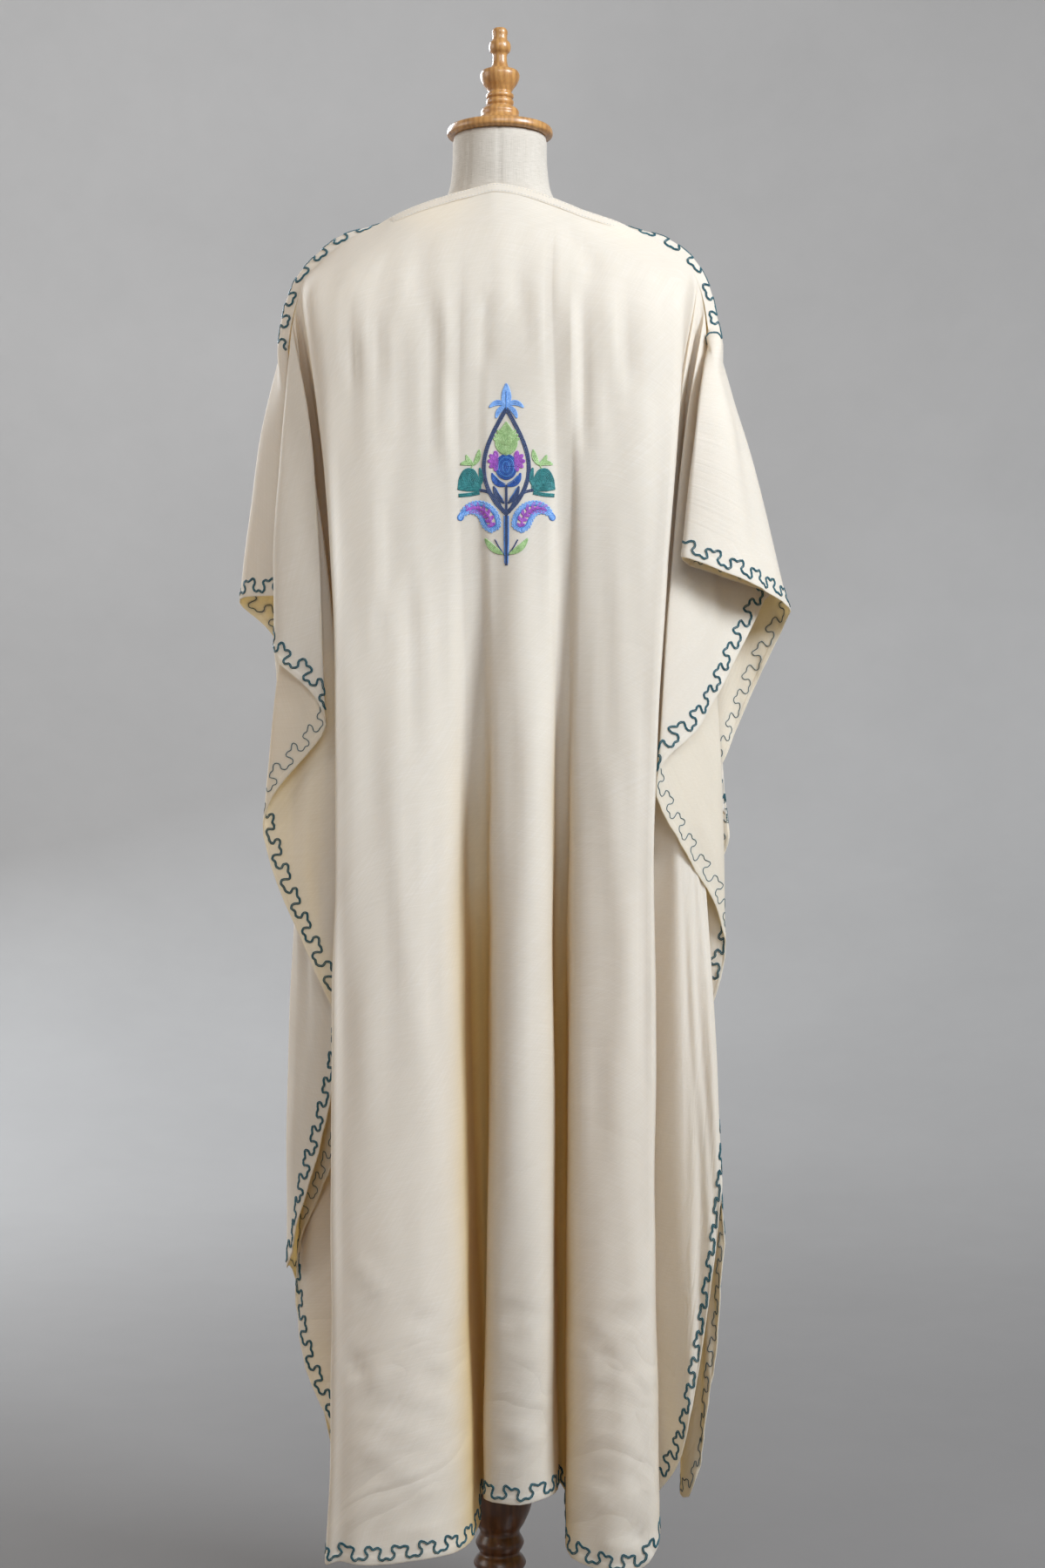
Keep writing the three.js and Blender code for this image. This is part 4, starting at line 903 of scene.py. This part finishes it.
# -------------------------------------------------------------------- panels
def build_panel(panel, name, stands_for):
    t = CLOTH + (HEM - CLOTH) * (1 - smooth(panel.up, HEM_WIDTH - .9, HEM_WIDTH + .9))
    t = t * (0.55 + 0.45 * smooth(panel.up, 0, 1.2))          # rounded edge
    outer = panel.P + panel.N * (t * .5)[..., None]
    inner = panel.P - panel.N * (t * .5)[..., None]
    V, F = shell(outer, inner)
    F = outward(V, F)
    uv = np.stack([panel.wide, panel.down], -1).reshape(-1, 2) * .001
    v = panel.valley_shade_mask().ravel()
    # painted shade: ochre deep between the folds on the outer face, an even fainter share of it on the inner face
    ob = add_mesh(name, V, F, [CREPE], uv=np.concatenate([uv, uv + 3.0]), fold=np.concatenate([v, .25 * v + .12]))
    panel.half = t * .5
    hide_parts(stands_for)
    return ob

back = Panel(BACK_FOLDS, False, NECK_BACK, -1, BACK_CREASES, 11)
front = Panel(FRONT_FOLDS, True, NECK_FRONT, 1, FRONT_CREASES, 23)
back_ob = build_panel(back, "kaftan_back_cloth", "kaftan_back_panel")
front_ob = build_panel(front, "kaftan_front_cloth", "kaftan_front_panel")

# --------------------------------------------------------- embroidered border
def surface_half(panel, up):
    t = CLOTH + (HEM - CLOTH) * (1 - smooth(up, HEM_WIDTH - .9, HEM_WIDTH + .9))
    return t * .5

def border_threads(panel, seed, name):
    S = Strands()
    E = panel.P[:, -1]
    length = np.linalg.norm(np.diff(E, axis=0), axis=1).sum()
    line = meander(length, seed)
    col, up = edge_line(panel, np.stack([line[:, 0], BORDER + line[:, 1]], 1), 0.0, 0.0)
    P, N = panel.at(col, up)
    half = surface_half(panel, up)[:, None]
    Q, _ = resample(np.concatenate([P + N * half, N], 1), 1.35)
    chain(S, Q[:, :3], unit(Q[:, 3:]))
    R, _ = resample(np.concatenate([P - N * half, -N], 1), 2.2)
    S.add(R[:, :3], unit(R[:, 3:]), .50, .36, lift=.26, sides=4, mat=1)
    for where in seam_lines(panel, seed + 5):
        P, N = where
        Q, _ = resample(np.concatenate([P + N * .45, N], 1), 1.35)
        chain(S, Q[:, :3], unit(Q[:, 3:]))
    ob = S.mesh(name, [TEAL, TEAL_THIN])
    return ob

def seam_lines(panel, seed):
    """The same border along the shoulder seams, on the front panel only."""
    if panel.side < 0:
        return []
    out = []
    n = len(panel.u)
    for left in (True, False):
        cols = np.arange(panel.neck[0], -1, -1) if left else np.arange(panel.neck[1], n)
        top = panel.P[cols, 0]
        s = np.concatenate([[0], np.cumsum(np.linalg.norm(np.diff(top, axis=0), axis=1))])
        T = unit(np.gradient(top, axis=0))
        j = int(np.argmin(np.abs(np.array(TOP_ROWS) - 20)))
        F = unit(panel.P[cols, j] - top)
        c = (F * T).sum(1)
        k = np.exp(-0.5 * (np.arange(-5, 6) / 2.5) ** 2)
        c = np.clip(np.convolve(np.pad(c, 5, mode="edge"), k / k.sum(), "valid"), -.9, .9)
        usable = s[-1] + 6
        line = meander(usable, seed + int(left))
        idx = np.arange(len(s))
        target, d = line[:, 0], BORDER + line[:, 1]
        pos = np.interp(target, s, idx)
        for _ in range(25):
            cc = np.interp(pos, idx, c)
            pos = .5 * pos + .5 * np.interp(target - d / np.sqrt(1 - cc**2) * cc, s, idx)
        cc = np.interp(pos, idx, c)
        col = np.interp(pos, idx, cols)
        P, N = panel.at_top(col, d / np.sqrt(1 - cc**2))
        out.append((P, N))
    return out

back_border = border_threads(back, 31, "back_border_stitches")
front_border = border_threads(front, 47, "front_border_stitches")

# --------------------------------------------------------------- neck binding
def strip_points(panel, i, downs):
    rows = np.arange(panel.P.shape[1])
    r = np.interp(downs, panel.down[i], rows)
    j = np.clip(np.floor(r).astype(int), 0, panel.P.shape[1] - 2)
    g = (r - j)[:, None]
    return panel.P[i, j] * (1 - g) + panel.P[i, j + 1] * g, unit(panel.N[i, j] * (1 - g) + panel.N[i, j + 1] * g)

def binding():
    downs = np.array([0, .8, 2, 4, 6, 8, 9.4, 10.4, 11.0])
    (b0, b1), (f0, f1) = back.neck, front.neck
    cols = []
    for i in range(b0, b1 + 1):
        cols.append(strip_points(back, i, downs))
    for i in range(f1, f0 - 1, -1):
        cols.append(strip_points(front, i, downs))
    P = np.stack([c[0] for c in cols])
    N = np.stack([c[1] for c in cols])
    k = np.array([1, 4, 7, 4, 1], float)
    for _ in range(2):                       # lets the ring turn the neck points smoothly
        pad = np.concatenate([P[-2:], P, P[:2]]); padn = np.concatenate([N[-2:], N, N[:2]])
        P = sum(w * pad[i:i + len(P)] for i, w in enumerate(k)) / k.sum()
        N = unit(sum(w * padn[i:i + len(N)] for i, w in enumerate(k)))
    thick = np.interp(downs, [0, 1.2, 9.0, 11.0], [.4, .8, .75, .2])
    lo = CLOTH * .5 + .28
    e = np.concatenate([[0], np.cumsum(np.linalg.norm(np.diff(P[:, 0], axis=0), axis=1))])
    wave = ripple(np.broadcast_to(e[:, None], P.shape[:2]), np.zeros(P.shape[:2]), 5, [(16, 1e6, .12, 4), (40, 1e6, .2, 3)])
    outer = P + N * (lo + thick + wave * .5)[..., None]
    inner = P + N * (lo + 0 * wave)[..., None]
    n, m = P.shape[:2]
    V = np.concatenate([outer.reshape(-1, 3), inner.reshape(-1, 3)])
    I = np.arange(n * m).reshape(n, m)
    I = np.concatenate([I, I[:1]])
    J = I + n * m
    q = lambda a, b, c, d: np.stack([a.ravel(), b.ravel(), c.ravel(), d.ravel()], 1)
    F = [q(I[:-1, :-1], I[1:, :-1], I[1:, 1:], I[:-1, 1:]), q(J[:-1, :-1], J[:-1, 1:], J[1:, 1:], J[1:, :-1]),
         q(I[:-1, 0], J[:-1, 0], J[1:, 0], I[1:, 0]), q(I[:-1, -1], I[1:, -1], J[1:, -1], J[:-1, -1])]
    F = outward(V, F)
    across_uv = np.broadcast_to(downs[None] * .001, (n, m))
    uv = np.stack([np.broadcast_to(e[:, None] * .001, (n, m)), across_uv], -1).reshape(-1, 2)
    ob = add_mesh("neck_binding_cloth", V, F, [CREPE], uv=np.concatenate([uv, uv + 2]))
    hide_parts("kaftan_neck_binding")
    # rows of small running stitches near both of its edges
    S = Strands()
    for d in (1.9, 9.2):
        path = np.stack([np.array([np.interp(d, downs, outer[i, :, c]) for c in range(3)]) for i in range(n)])
        norm = np.stack([N[i, 4] for i in range(n)])
        path, norm = np.concatenate([path, path[:1]]), np.concatenate([norm, norm[:1]])
        Q, x = resample(np.concatenate([path, norm], 1), .9)
        for a in range(0, len(Q) - 3, 4):
            S.add(Q[a:a + 3, :3] + unit(Q[a:a + 3, 3:]) * np.array([[-.12], [.12], [-.12]]), unit(Q[a:a + 3, 3:]), .26, .22, lift=.1, sides=4)
    st = S.mesh("neck_binding_stitches", [LINEN_THREAD])
    mid = (outer + np.roll(outer, -1, 0)) * .5
    step = np.linalg.norm(np.roll(outer, -1, 0) - outer, axis=2)
    deep = np.linalg.norm(np.diff(mid, axis=1), axis=2)
    ring = float(((step[:, 1:] + step[:, :-1]) * .5 * deep).sum()) / 11.0
    return ob, st, ring

binding_ob, binding_st, NECK_RING = binding()

# ----------------------------------------------------------------- dress form
def torso():
    sides = 112
    z = TORSO[:, 0]
    fine = along(np.concatenate([TORSO[:, 1:], z[:, None]], 1)[:, [0, 1, 3]], np.linspace(0, 1, 150))
    deep = along(np.stack([TORSO[:, 3], TORSO[:, 2], z], 1), np.linspace(0, 1, 600))
    zz = np.linspace(z[0], z[-1], 150)
    def col(k):
        c = along(np.stack([TORSO[:, k], z, 0 * z], 1), np.linspace(0, 1, 1200))
        return np.interp(zz, c[:, 1], c[:, 0])
    w, f, b = col(1), col(2), col(3)
    a = np.linspace(0, 2 * math.pi, sides, endpoint=False)
    R = np.where(np.sin(a)[None] > 0, f[:, None], b[:, None])
    x, y = w[:, None] * np.cos(a), R * np.sin(a)
    # panel seams of the linen cover, drawn in a little
    cut = np.zeros_like(x)
    for at in (math.pi / 2, 3 * math.pi / 2, 0, math.pi, math.radians(52), math.radians(128), math.radians(232), math.radians(308)):
        d = np.angle(np.exp(1j * (a - at)))
        cut += np.exp(-(d / .020) ** 2)[None] * smooth(zz, 858, 875)[:, None]
    cut = np.minimum(cut, 1) * 1.1
    ring = np.exp(-((zz - 1601) / 3.0) ** 2)[:, None] * .9
    s = 1 - (cut + ring) / np.hypot(x, y)
    inset = 1 - (.9 * np.exp(-(zz - 858) / 3.0) + 1.4 * np.exp((zz - 1684) / 2.5))[:, None] / np.hypot(x, y)
    P = np.stack([x * s * inset, y * s * inset, np.broadcast_to(zz[:, None], x.shape)], -1)
    n, m = P.shape[:2]
    V = np.concatenate([P.reshape(-1, 3), [[0, 0, z[0]]], [[0, 0, z[-1]]]])
    I = np.arange(n * m).reshape(n, m)
    I2 = np.roll(I, -1, axis=1)
    quads = np.stack([I[:-1].ravel(), I2[:-1].ravel(), I2[1:].ravel(), I[1:].ravel()], 1)
    low = np.stack([I[0], np.full(m, n * m), I2[0]], 1)
    high = np.stack([I[-1], I2[-1], np.full(m, n * m + 1)], 1)
    u = np.broadcast_to(a[None] * .13, (n, m))
    uv = np.stack([u, P[..., 2] * .001], -1).reshape(-1, 2)
    ob = add_mesh("form_linen_cover", V, [quads, low, high], [LINEN], uv=np.concatenate([uv, [[0, 0], [0, 0]]]))
    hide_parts("form_torso")
    return ob, P

torso_ob, TORSO_P = torso()

def turned(name, profile, mat, stands_for, sides=128, per=5, scale=.22):
    prof = np.array(profile, float)
    keep = [prof[0]]
    # smooth where the profile is finely stepped, straight where it is long
    P3 = np.concatenate([prof, np.zeros((len(prof), 1))], 1)
    s = np.concatenate([[0], np.cumsum(np.linalg.norm(np.diff(prof, axis=0), axis=1))])
    shares = []
    for i in range(len(prof) - 1):
        shares += list(s[i] + (s[i + 1] - s[i]) * np.arange(per) / per)
    shares.append(s[-1])
    C = along(P3[1:-1], np.clip((np.array(shares) - s[1]) / (s[-2] - s[1]), 0, 1))[:, :2]
    inside = (np.array(shares) >= s[1]) & (np.array(shares) <= s[-2])
    C = C[inside]
    C[:, 0] = np.maximum(C[:, 0], .5)
    a = np.linspace(0, 2 * math.pi, sides, endpoint=False)
    ring = np.stack([C[:, :1] * np.cos(a), C[:, :1] * np.sin(a), np.broadcast_to(C[:, 1:], (len(C), sides))], -1)
    n, m = ring.shape[:2]
    V = np.concatenate([ring.reshape(-1, 3), [[0, 0, prof[0, 1]]], [[0, 0, prof[-1, 1]]]])
    I = np.arange(n * m).reshape(n, m)
    I2 = np.roll(I, -1, axis=1)
    F = [np.stack([I[:-1].ravel(), I2[:-1].ravel(), I2[1:].ravel(), I[1:].ravel()], 1),
         np.stack([I[0], np.full(m, n * m), I2[0]], 1), np.stack([I[-1], I2[-1], np.full(m, n * m + 1)], 1)]
    ob = add_mesh(name, V, F, [mat])
    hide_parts(stands_for)
    return ob

cap_ob = turned("cap_turned", CAP, LIGHT_WOOD, "stand_neck_cap", per=5)
post_ob = turned("post_turned", POST, DARK_WOOD, "stand_post", per=5)
base_ob = turned("base_turned", BASE, DARK_WOOD, "stand_base", per=5)

# --------------------------------------------------------------------- motif
def surface_tree(panel, u_lo, u_hi):
    """The outside of a stretch of the panel, for rays from behind the wearer."""
    a = int(np.argmin(abs(panel.u - panel.names.index(u_lo))))
    b = int(np.argmin(abs(panel.u - panel.names.index(u_hi))))
    P = (panel.P + panel.N * CLOTH * .5)[a:b + 1, 8:100]
    n, m = P.shape[:2]
    I = np.arange(n * m).reshape(n, m)
    q = np.stack([I[:-1, :-1].ravel(), I[1:, :-1].ravel(), I[1:, 1:].ravel(), I[:-1, 1:].ravel()], 1)
    return BVHTree.FromPolygons([tuple(v) for v in P.reshape(-1, 3)], [tuple(int(i) for i in f) for f in q])

TREE = surface_tree(back, "m1", "r1")
# the motif's own plane: x across and z up in mm, as it lies on the cloth
def lay(points, step=.9):
    """2-D points on the motif's plane, laid onto the cloth."""
    Q, _ = resample(np.concatenate([np.asarray(points, float), np.zeros((len(points), 1))], 1), step)
    P, N = [], []
    for x, z, _ in Q:
        hit = TREE.ray_cast(Vector((24.7, -2660, 980)), Vector((x - 24.7, 2550, z - 980)).normalized())
        if hit[0] is None:
            continue
        nor = hit[1] if hit[1].y < 0 else -hit[1]
        P.append(tuple(hit[0]))
        N.append(tuple(nor))
    return np.array(P), np.array(N)

MX, MZ = 3.3, 1306.5      # where the motif's middle lies on the cloth
MOTIF = Strands()
MOTIF_MATS = [SKY, NAVY, LIME, VIOLET, ROYAL, SEA, MID_BLUE]
C_SKY, C_NAVY, C_LIME, C_VIOLET, C_ROYAL, C_SEA, C_MID = range(7)

def put(points, mat, half=.85, lift=.3):
    P, N = lay([(MX + x, MZ + z) for x, z in points])
    if len(P) < 3:
        return
    s = np.concatenate([[0], np.cumsum(np.linalg.norm(np.diff(P, axis=0), axis=1))])
    bead = np.abs(np.sin(math.pi * s / 2.3 + points[0][0]))
    MOTIF.add(P, N, half * (.78 + .26 * bead), half * .62 * (.7 + .35 * bead), lift=lift, sides=5, mat=mat)

def leaf(x, z, angle, length, width, mat, bend=0.0, widest=.42, rows=1.45, half=.86):
    """A petal or leaf filled with rows of chain stitch from its base to its tip."""
    a = math.radians(angle)
    t = np.linspace(0, 1, 22)
    th = a + bend * (t - .5)
    cx = x + np.concatenate([[0], np.cumsum(np.cos(th[:-1]))]) * length / 21
    cz = z + np.concatenate([[0], np.cumsum(np.sin(th[:-1]))]) * length / 21
    w = width * .5 * np.sin(math.pi * t ** (math.log(.5) / math.log(widest))) ** .8
    n = max(1, int(round(width / rows)))
    for k in (np.arange(n) - (n - 1) / 2) * (2 / max(n, 1)):
        put(list(zip(cx - np.sin(th) * w * k, cz + np.cos(th) * w * k)), mat, half)

def stem(points, mat, width=2.6):
    C = spline(points, 8)
    d = unit(np.gradient(C, axis=0))
    n = max(1, int(round(width / 1.35)))
    for k in (np.arange(n) - (n - 1) / 2):
        put(list(zip(C[:, 0] - d[:, 1] * k * width / n, C[:, 1] + d[:, 0] * k * width / n)), mat, .82)

def petal(base, tip, width, mat, bow=0.0, widest=.5, rows=1.4, full=.75):
    """A leaf between two points, bowed to its left by a share of its length."""
    b, t = np.array(base, float), np.array(tip, float)
    d = t - b
    long = float(np.hypot(*d))
    n = np.array([-d[1], d[0]]) / long
    k = np.linspace(0, 1, 20)
    C = b + d * k[:, None] + n * (bow * long * np.sin(math.pi * k))[:, None]
    T = unit(np.gradient(C, axis=0))
    w = width * .5 * np.sin(math.pi * k ** (math.log(.5) / math.log(widest))) ** full
    m = max(1, int(round(width / rows)))
    for q in (np.arange(m) - (m - 1) / 2) * (2 / m):
        put(list(zip(C[:, 0] - T[:, 1] * w * q, C[:, 1] + T[:, 0] * w * q)), mat)

def rings(points, mats, step=1.4, frill=0.0):
    """Outlines of chain stitch one inside the other, from outside in."""
    P = spline(np.array(points + points[:1], float), 7)[:-1]
    area = (P[:, 0] * np.roll(P[:, 1], -1) - P[:, 1] * np.roll(P[:, 0], -1)).sum()
    s = np.concatenate([[0], np.cumsum(np.linalg.norm(np.diff(P, axis=0), axis=1))])
    for k, mat in enumerate(mats):
        T = unit(np.roll(P, -1, 0) - np.roll(P, 1, 0))
        n = np.stack([-T[:, 1], T[:, 0]], 1) * (1 if area > 0 else -1)
        out = P - n * (frill * np.sin(s * 2 * math.pi / 3.7))[:, None] if k == 0 and frill else P
        put([tuple(p) for p in np.concatenate([out, out[:1]])], mat)
        P = P + n * step
        P = .25 * np.roll(P, 1, 0) + .5 * P + .25 * np.roll(P, -1, 0)

def fan(base, tips, width, mat):
    for t in tips:
        petal(base, t, width, mat, 0, .68)

# A spray of common flower, leaf and paisley shapes about an upright axis, each
# worked out from its own sizes in mm and made twice, left and right.
AXIS = 4.5                # the axis, across the motif's plane
FRAME_FOOT, FRAME_TALL, FRAME_HALF = -44, 110, 23.5
BUD_HALF, BUD_TALL, BUD_MIDDLE = 11, 13, 5
BELL_MIDDLE, BELL_FOOT, BELL_HALF, BELL_TALL = 39, -18.5, 11.5, 22
PAISLEY_MIDDLE, PAISLEY_RADIUS, PAISLEY_HALF = (33, -58), 17.5, 11.4
SIDES = (-1, 1)

def at(side, x, z):
    return (AXIS + side * x, z)

def ray(side, x, z, angle, long, width, mat, bow=0.0, widest=.5, full=.75):
    """A petal that leaves a point at an angle from the level, turned outward."""
    a = math.radians(angle)
    petal(at(side, x, z), at(side, x + long * math.cos(a), z + long * math.sin(a)), width, mat, bow * side, widest, 1.4, full)

# a star at the tip: one upright petal and two a side
ray(1, 0, 68, 90, 24, 10.5, C_SKY, 0, .4)
for side in SIDES:
    ray(side, 0, 69, -6, 18, 6.0, C_SKY, .22)
    ray(side, 0, 69, -50, 17, 5.4, C_SKY, .14)
put([at(1, 0, 65), at(1, 0, 74), at(1, 0, 84)], C_MID, .7, .8)
# pointed frame about the bud
for side in SIDES:
    stem([at(side, FRAME_HALF * math.sin(math.pi * t ** .84), FRAME_FOOT + FRAME_TALL * t) for t in np.linspace(0, 1, 9)], C_NAVY, 4.4)
# leaf inside it, its edge cut into three points a side
ray(1, 0, 17, 90, 35, 24, C_LIME, 0, .38, 1.0)
for side in SIDES:
    for k in range(3):
        ray(side, 0, 27, 60 - 15 * k, 19 - 1.6 * k, 3.6, C_LIME, 0, .7)
# a fan of five petals either side of the bud
for side in SIDES:
    for k in range(5):
        ray(side, 8.5, 11, 72 - 36 * k, 11, 5.0, C_VIOLET, 0, .68)
# bud, its cup and the leaves under it
rings([(AXIS + BUD_HALF * math.cos(k * math.pi / 4), BUD_MIDDLE + BUD_TALL * math.sin(k * math.pi / 4)) for k in range(8)],
      [C_ROYAL, C_ROYAL, C_MID, C_ROYAL, C_ROYAL, C_MID, C_ROYAL, C_ROYAL])
for side in SIDES:
    ray(side, .8, -15, 44, 19.5, 6.0, C_ROYAL, -.20)
    put([at(side, 1, -13), at(side, 7, -9.5), at(side, 12.5, -4)], C_MID, .6, .8)
    ray(side, 2, -33, 58, 21, 5.2, C_NAVY, -.10)
    put([at(side, 3.6, -29), at(side, 8, -22.5), at(side, 11, -17)], C_MID, .5, .8)
stem([at(1, 0, -14), at(1, 0, -30), at(1, 0, -46)], C_NAVY, 2.7)
# bell flowers at the sides, with a sprig of three leaves on each
for side in SIDES:
    rings([at(side, BELL_MIDDLE + BELL_HALF * math.cos(k * math.pi / 5), BELL_FOOT + BELL_TALL * math.sin(k * math.pi / 5)) for k in range(6)]
          + [at(side, BELL_MIDDLE, BELL_FOOT - 1.5)], [C_SEA] * 7)
    ray(side, BELL_MIDDLE, BELL_FOOT + 5, 90, 10, 4.4, C_SEA)
    stem([at(side, BELL_MIDDLE - 2, 3), at(side, 36, 5), at(side, 34.5, 8)], C_LIME, 1.4)
    ray(side, BELL_MIDDLE - BELL_HALF + 1, -16, 92, 20, 5.0, C_SEA, .1)
    stem([at(side, 28, -22), at(side, 39, -24), at(side, 50, -25)], C_SEA, 3.9)
    for angle, long, width, bow in ((110, 17, 6.0, .08), (52, 13, 5.0, -.12), (2, 14, 5.6, .14)):
        ray(side, 34, 7, angle, long, width, C_LIME, bow)
    stem([at(side, 28.5, -19), at(side, 19, -21.5), at(side, 9.5, -30), at(side, 3, -42.5)], C_NAVY, 3.3)
# paisleys either side of the stem, round an arc, full at the foot and narrow at the hooked tip
for side in SIDES:
    k = np.linspace(0, 1, 11)
    a = np.radians(196 - 172 * k)
    S = np.stack([PAISLEY_MIDDLE[0] + PAISLEY_RADIUS * np.cos(a), PAISLEY_MIDDLE[1] + 1.15 * PAISLEY_RADIUS * np.sin(a)], 1)
    T = unit(np.gradient(S, axis=0))
    w = (PAISLEY_HALF * (1 - .5 * k) * np.sin(math.pi * k ** .62) ** .6)[:, None]
    n = np.stack([-T[:, 1], T[:, 0]], 1)
    loop = np.concatenate([S + n * w, (S - n * w)[-2:0:-1]])
    rings([at(side, float(x), float(z)) for x, z in loop], [C_SKY, C_SKY, C_SKY, C_MID], 1.36, .8)
    C = np.array([at(side, float(x), float(z)) for x, z in S[1:9]])
    for off in (-.6, .6):
        put([tuple(c) for c in C + off * np.array([at(side, float(x), float(z)) for x, z in n[1:9]]) - off * np.array([AXIS, 0])], C_VIOLET, .8, .5)
    for i in range(len(C) - 1):
        d = C[i + 1] - C[i]
        b = math.atan2(d[1], d[0])
        for turn, long in ((.95, 7.4), (-.95, 6.4)):
            long *= .6 + .45 * math.sin(math.pi * (i + .5) / len(C))
            petal(C[i], (C[i][0] + long * math.cos(b + turn * side), C[i][1] + long * math.sin(b + turn * side)), 3.6, C_VIOLET, .12, .55)
# stem and its leaves
stem([at(1, 0, -44), at(1, 0, -62), at(1, 0, -80), at(1, 0, -98)], C_NAVY, 2.8)
for side in SIDES:
    put([at(side, 2.1, -46), at(side, 2.1, -72), at(side, 1.3, -96)], C_MID, .8)
    stem([at(side, 12, -71), at(side, 7.5, -79), at(side, 1.5, -88)], C_NAVY, 1.4)
    ray(side, 3, -86, 40, 25, 6.8, C_LIME, -.10)

motif_ob = MOTIF.mesh("back_motif_stitches", MOTIF_MATS)

# -------------------------------------------------------------------- edge lengths
def edge_length(panel, a, b):
    """Cut length of a stretch of the lower edge, in metres."""
    i, j = (int(np.argmin(abs(panel.u - panel.names.index(k)))) for k in (a, b))
    return float(np.linalg.norm(np.diff(panel.P[i:j + 1, -1], axis=0), axis=1).sum()) * .001

# --------------------------------------------------------------------- stage
def stage_material(name, colour, spread, scale):
    m, nt, p, out = material(name)
    co = nt.nodes.new("ShaderNodeTexCoord").outputs["Object"]
    a = noise(nt, co, scale, 5, .6)
    b = noise(nt, co, scale * 9, 4, .6)
    c = ramp(nt, a, [(.3, tuple(x * (1 - spread) for x in colour)), (.7, tuple(min(1, x * (1 + spread)) for x in colour))])
    c = mixed(nt, .3, c, ramp(nt, b, [(.3, tuple(x * (1 - spread) for x in colour)), (.7, colour)]))
    # painted shade: the paper is darkened most about the stand and less out towards the wall
    sep = nt.nodes.new("ShaderNodeSeparateXYZ")
    nt.links.new(co, sep.inputs[0])
    shade_radius = maths(nt, "SQRT", maths(nt, "ADD", maths(nt, "MULTIPLY", sep.outputs[0], sep.outputs[0]), maths(nt, "MULTIPLY", sep.outputs[1], sep.outputs[1])))
    c = mixed(nt, ramp(nt, maths(nt, "MULTIPLY", shade_radius, 1 / 6.0), [(.05, (.92, .92, .92)), (.35, (.74, .74, .74)), (.8, (.28, .28, .28)), (1.0, (.10, .10, .10))]), c, mixed(nt, 1.0, c, (.28, .26, .245), "MULTIPLY"))
    nt.links.new(c, p.inputs["Base Color"])
    p.inputs["Roughness"].default_value = .9
    p.inputs["Specular IOR Level"].default_value = .15
    return m

def cyclorama():
    """A round sweep: flat floor that curves up into a wall all round."""
    R, r, H = 6.0, 3.4, 7.5
    prof = [(0, 0), (.8, 0), (1.7, 0), (R - r, 0)]
    for k in range(1, 15):
        t = k / 14 * math.pi / 2
        prof.append((R - r + r * math.sin(t), r - r * math.cos(t)))
    prof += [(R, 4.4), (R, 6.0), (R, H)]
    prof = np.array(prof)
    a = np.linspace(0, 2 * math.pi, 120, endpoint=False)
    V = np.stack([prof[1:, :1] * np.cos(a), prof[1:, :1] * np.sin(a), np.broadcast_to(prof[1:, 1:], (len(prof) - 1, 120))], -1)
    n, m = V.shape[:2]
    I = np.arange(n * m).reshape(n, m)
    I2 = np.roll(I, -1, axis=1)
    F = [np.stack([I[:-1].ravel(), I[1:].ravel(), I2[1:].ravel(), I2[:-1].ravel()], 1), np.stack([I[0], I2[0], np.full(m, n * m)], 1)]
    me = bpy.data.meshes.new("studio_sweep")
    VV = [tuple(v) for v in np.concatenate([V.reshape(-1, 3), [[0, 0, 0]]])]
    me.from_pydata(VV, [], [tuple(int(i) for i in f) for g in F for f in g])
    for poly in me.polygons:
        poly.use_smooth = True
    me.materials.append(stage_material("studio_paper", (.50, .487, .476), .05, 1.3))
    ob = bpy.data.objects.new("studio_sweep", me)
    bpy.context.scene.collection.objects.link(ob)
    return ob

cyclorama()

def area(name, where, to, size, watts, colour=(1, 1, 1), size_y=None):
    L = bpy.data.lights.new(name, "AREA")
    L.shape = "RECTANGLE"
    L.size, L.size_y = size, size_y or size
    L.energy = watts
    L.color = colour
    ob = bpy.data.objects.new(name, L)
    ob.location = where
    ob.rotation_euler = (Vector(to) - Vector(where)).to_track_quat("-Z", "Y").to_euler()
    bpy.context.scene.collection.objects.link(ob)
    return ob

area("key", (2.6, -1.9, 3.0), (0, 0, 1.75), 1.3, 182, (.80, .895, 1.0), 1.4)
area("soft", (.3, -3.5, 3.2), (0, 0, 1.9), 1.8, 46, (.86, .93, 1.0), 1.4)
area("fill", (-3.1, -.3, 2.1), (0, 0, 1.5), 1.7, 30, (1.0, .97, .92), 1.8)
area("front_key", (-2.2, 3.0, 2.7), (0, 0, 1.15), 1.6, 150, (.84, .92, 1.0), 2.0)
area("wall_wash", (-.6, 1.9, 4.0), (-1.8, 6, 2.4), 2.4, 78, (1, 1, 1))
area("front_wash", (0, -3.2, 4.2), (.4, -6, 2.4), 2.4, 50, (1, 1, 1))

world = bpy.data.worlds.new("studio")
bpy.context.scene.world = world
world.use_nodes = True
bg = world.node_tree.nodes["Background"]
bg.inputs["Color"].default_value = (.97, .98, 1.0, 1)
bg.inputs["Strength"].default_value = .44

# -------------------------------------------------------------------- camera
cam = bpy.data.cameras.new("camera")
cam.lens, cam.sensor_width, cam.sensor_fit = 56, 36, "AUTO"
cam_ob = bpy.data.objects.new("camera", cam)
cam_ob.location = (.0122, -2.66, .98)
cam_ob.rotation_euler = (math.pi / 2, 0, 0)
bpy.context.scene.collection.objects.link(cam_ob)
bpy.context.scene.camera = cam_ob
bpy.context.scene.view_settings.view_transform = "Standard"
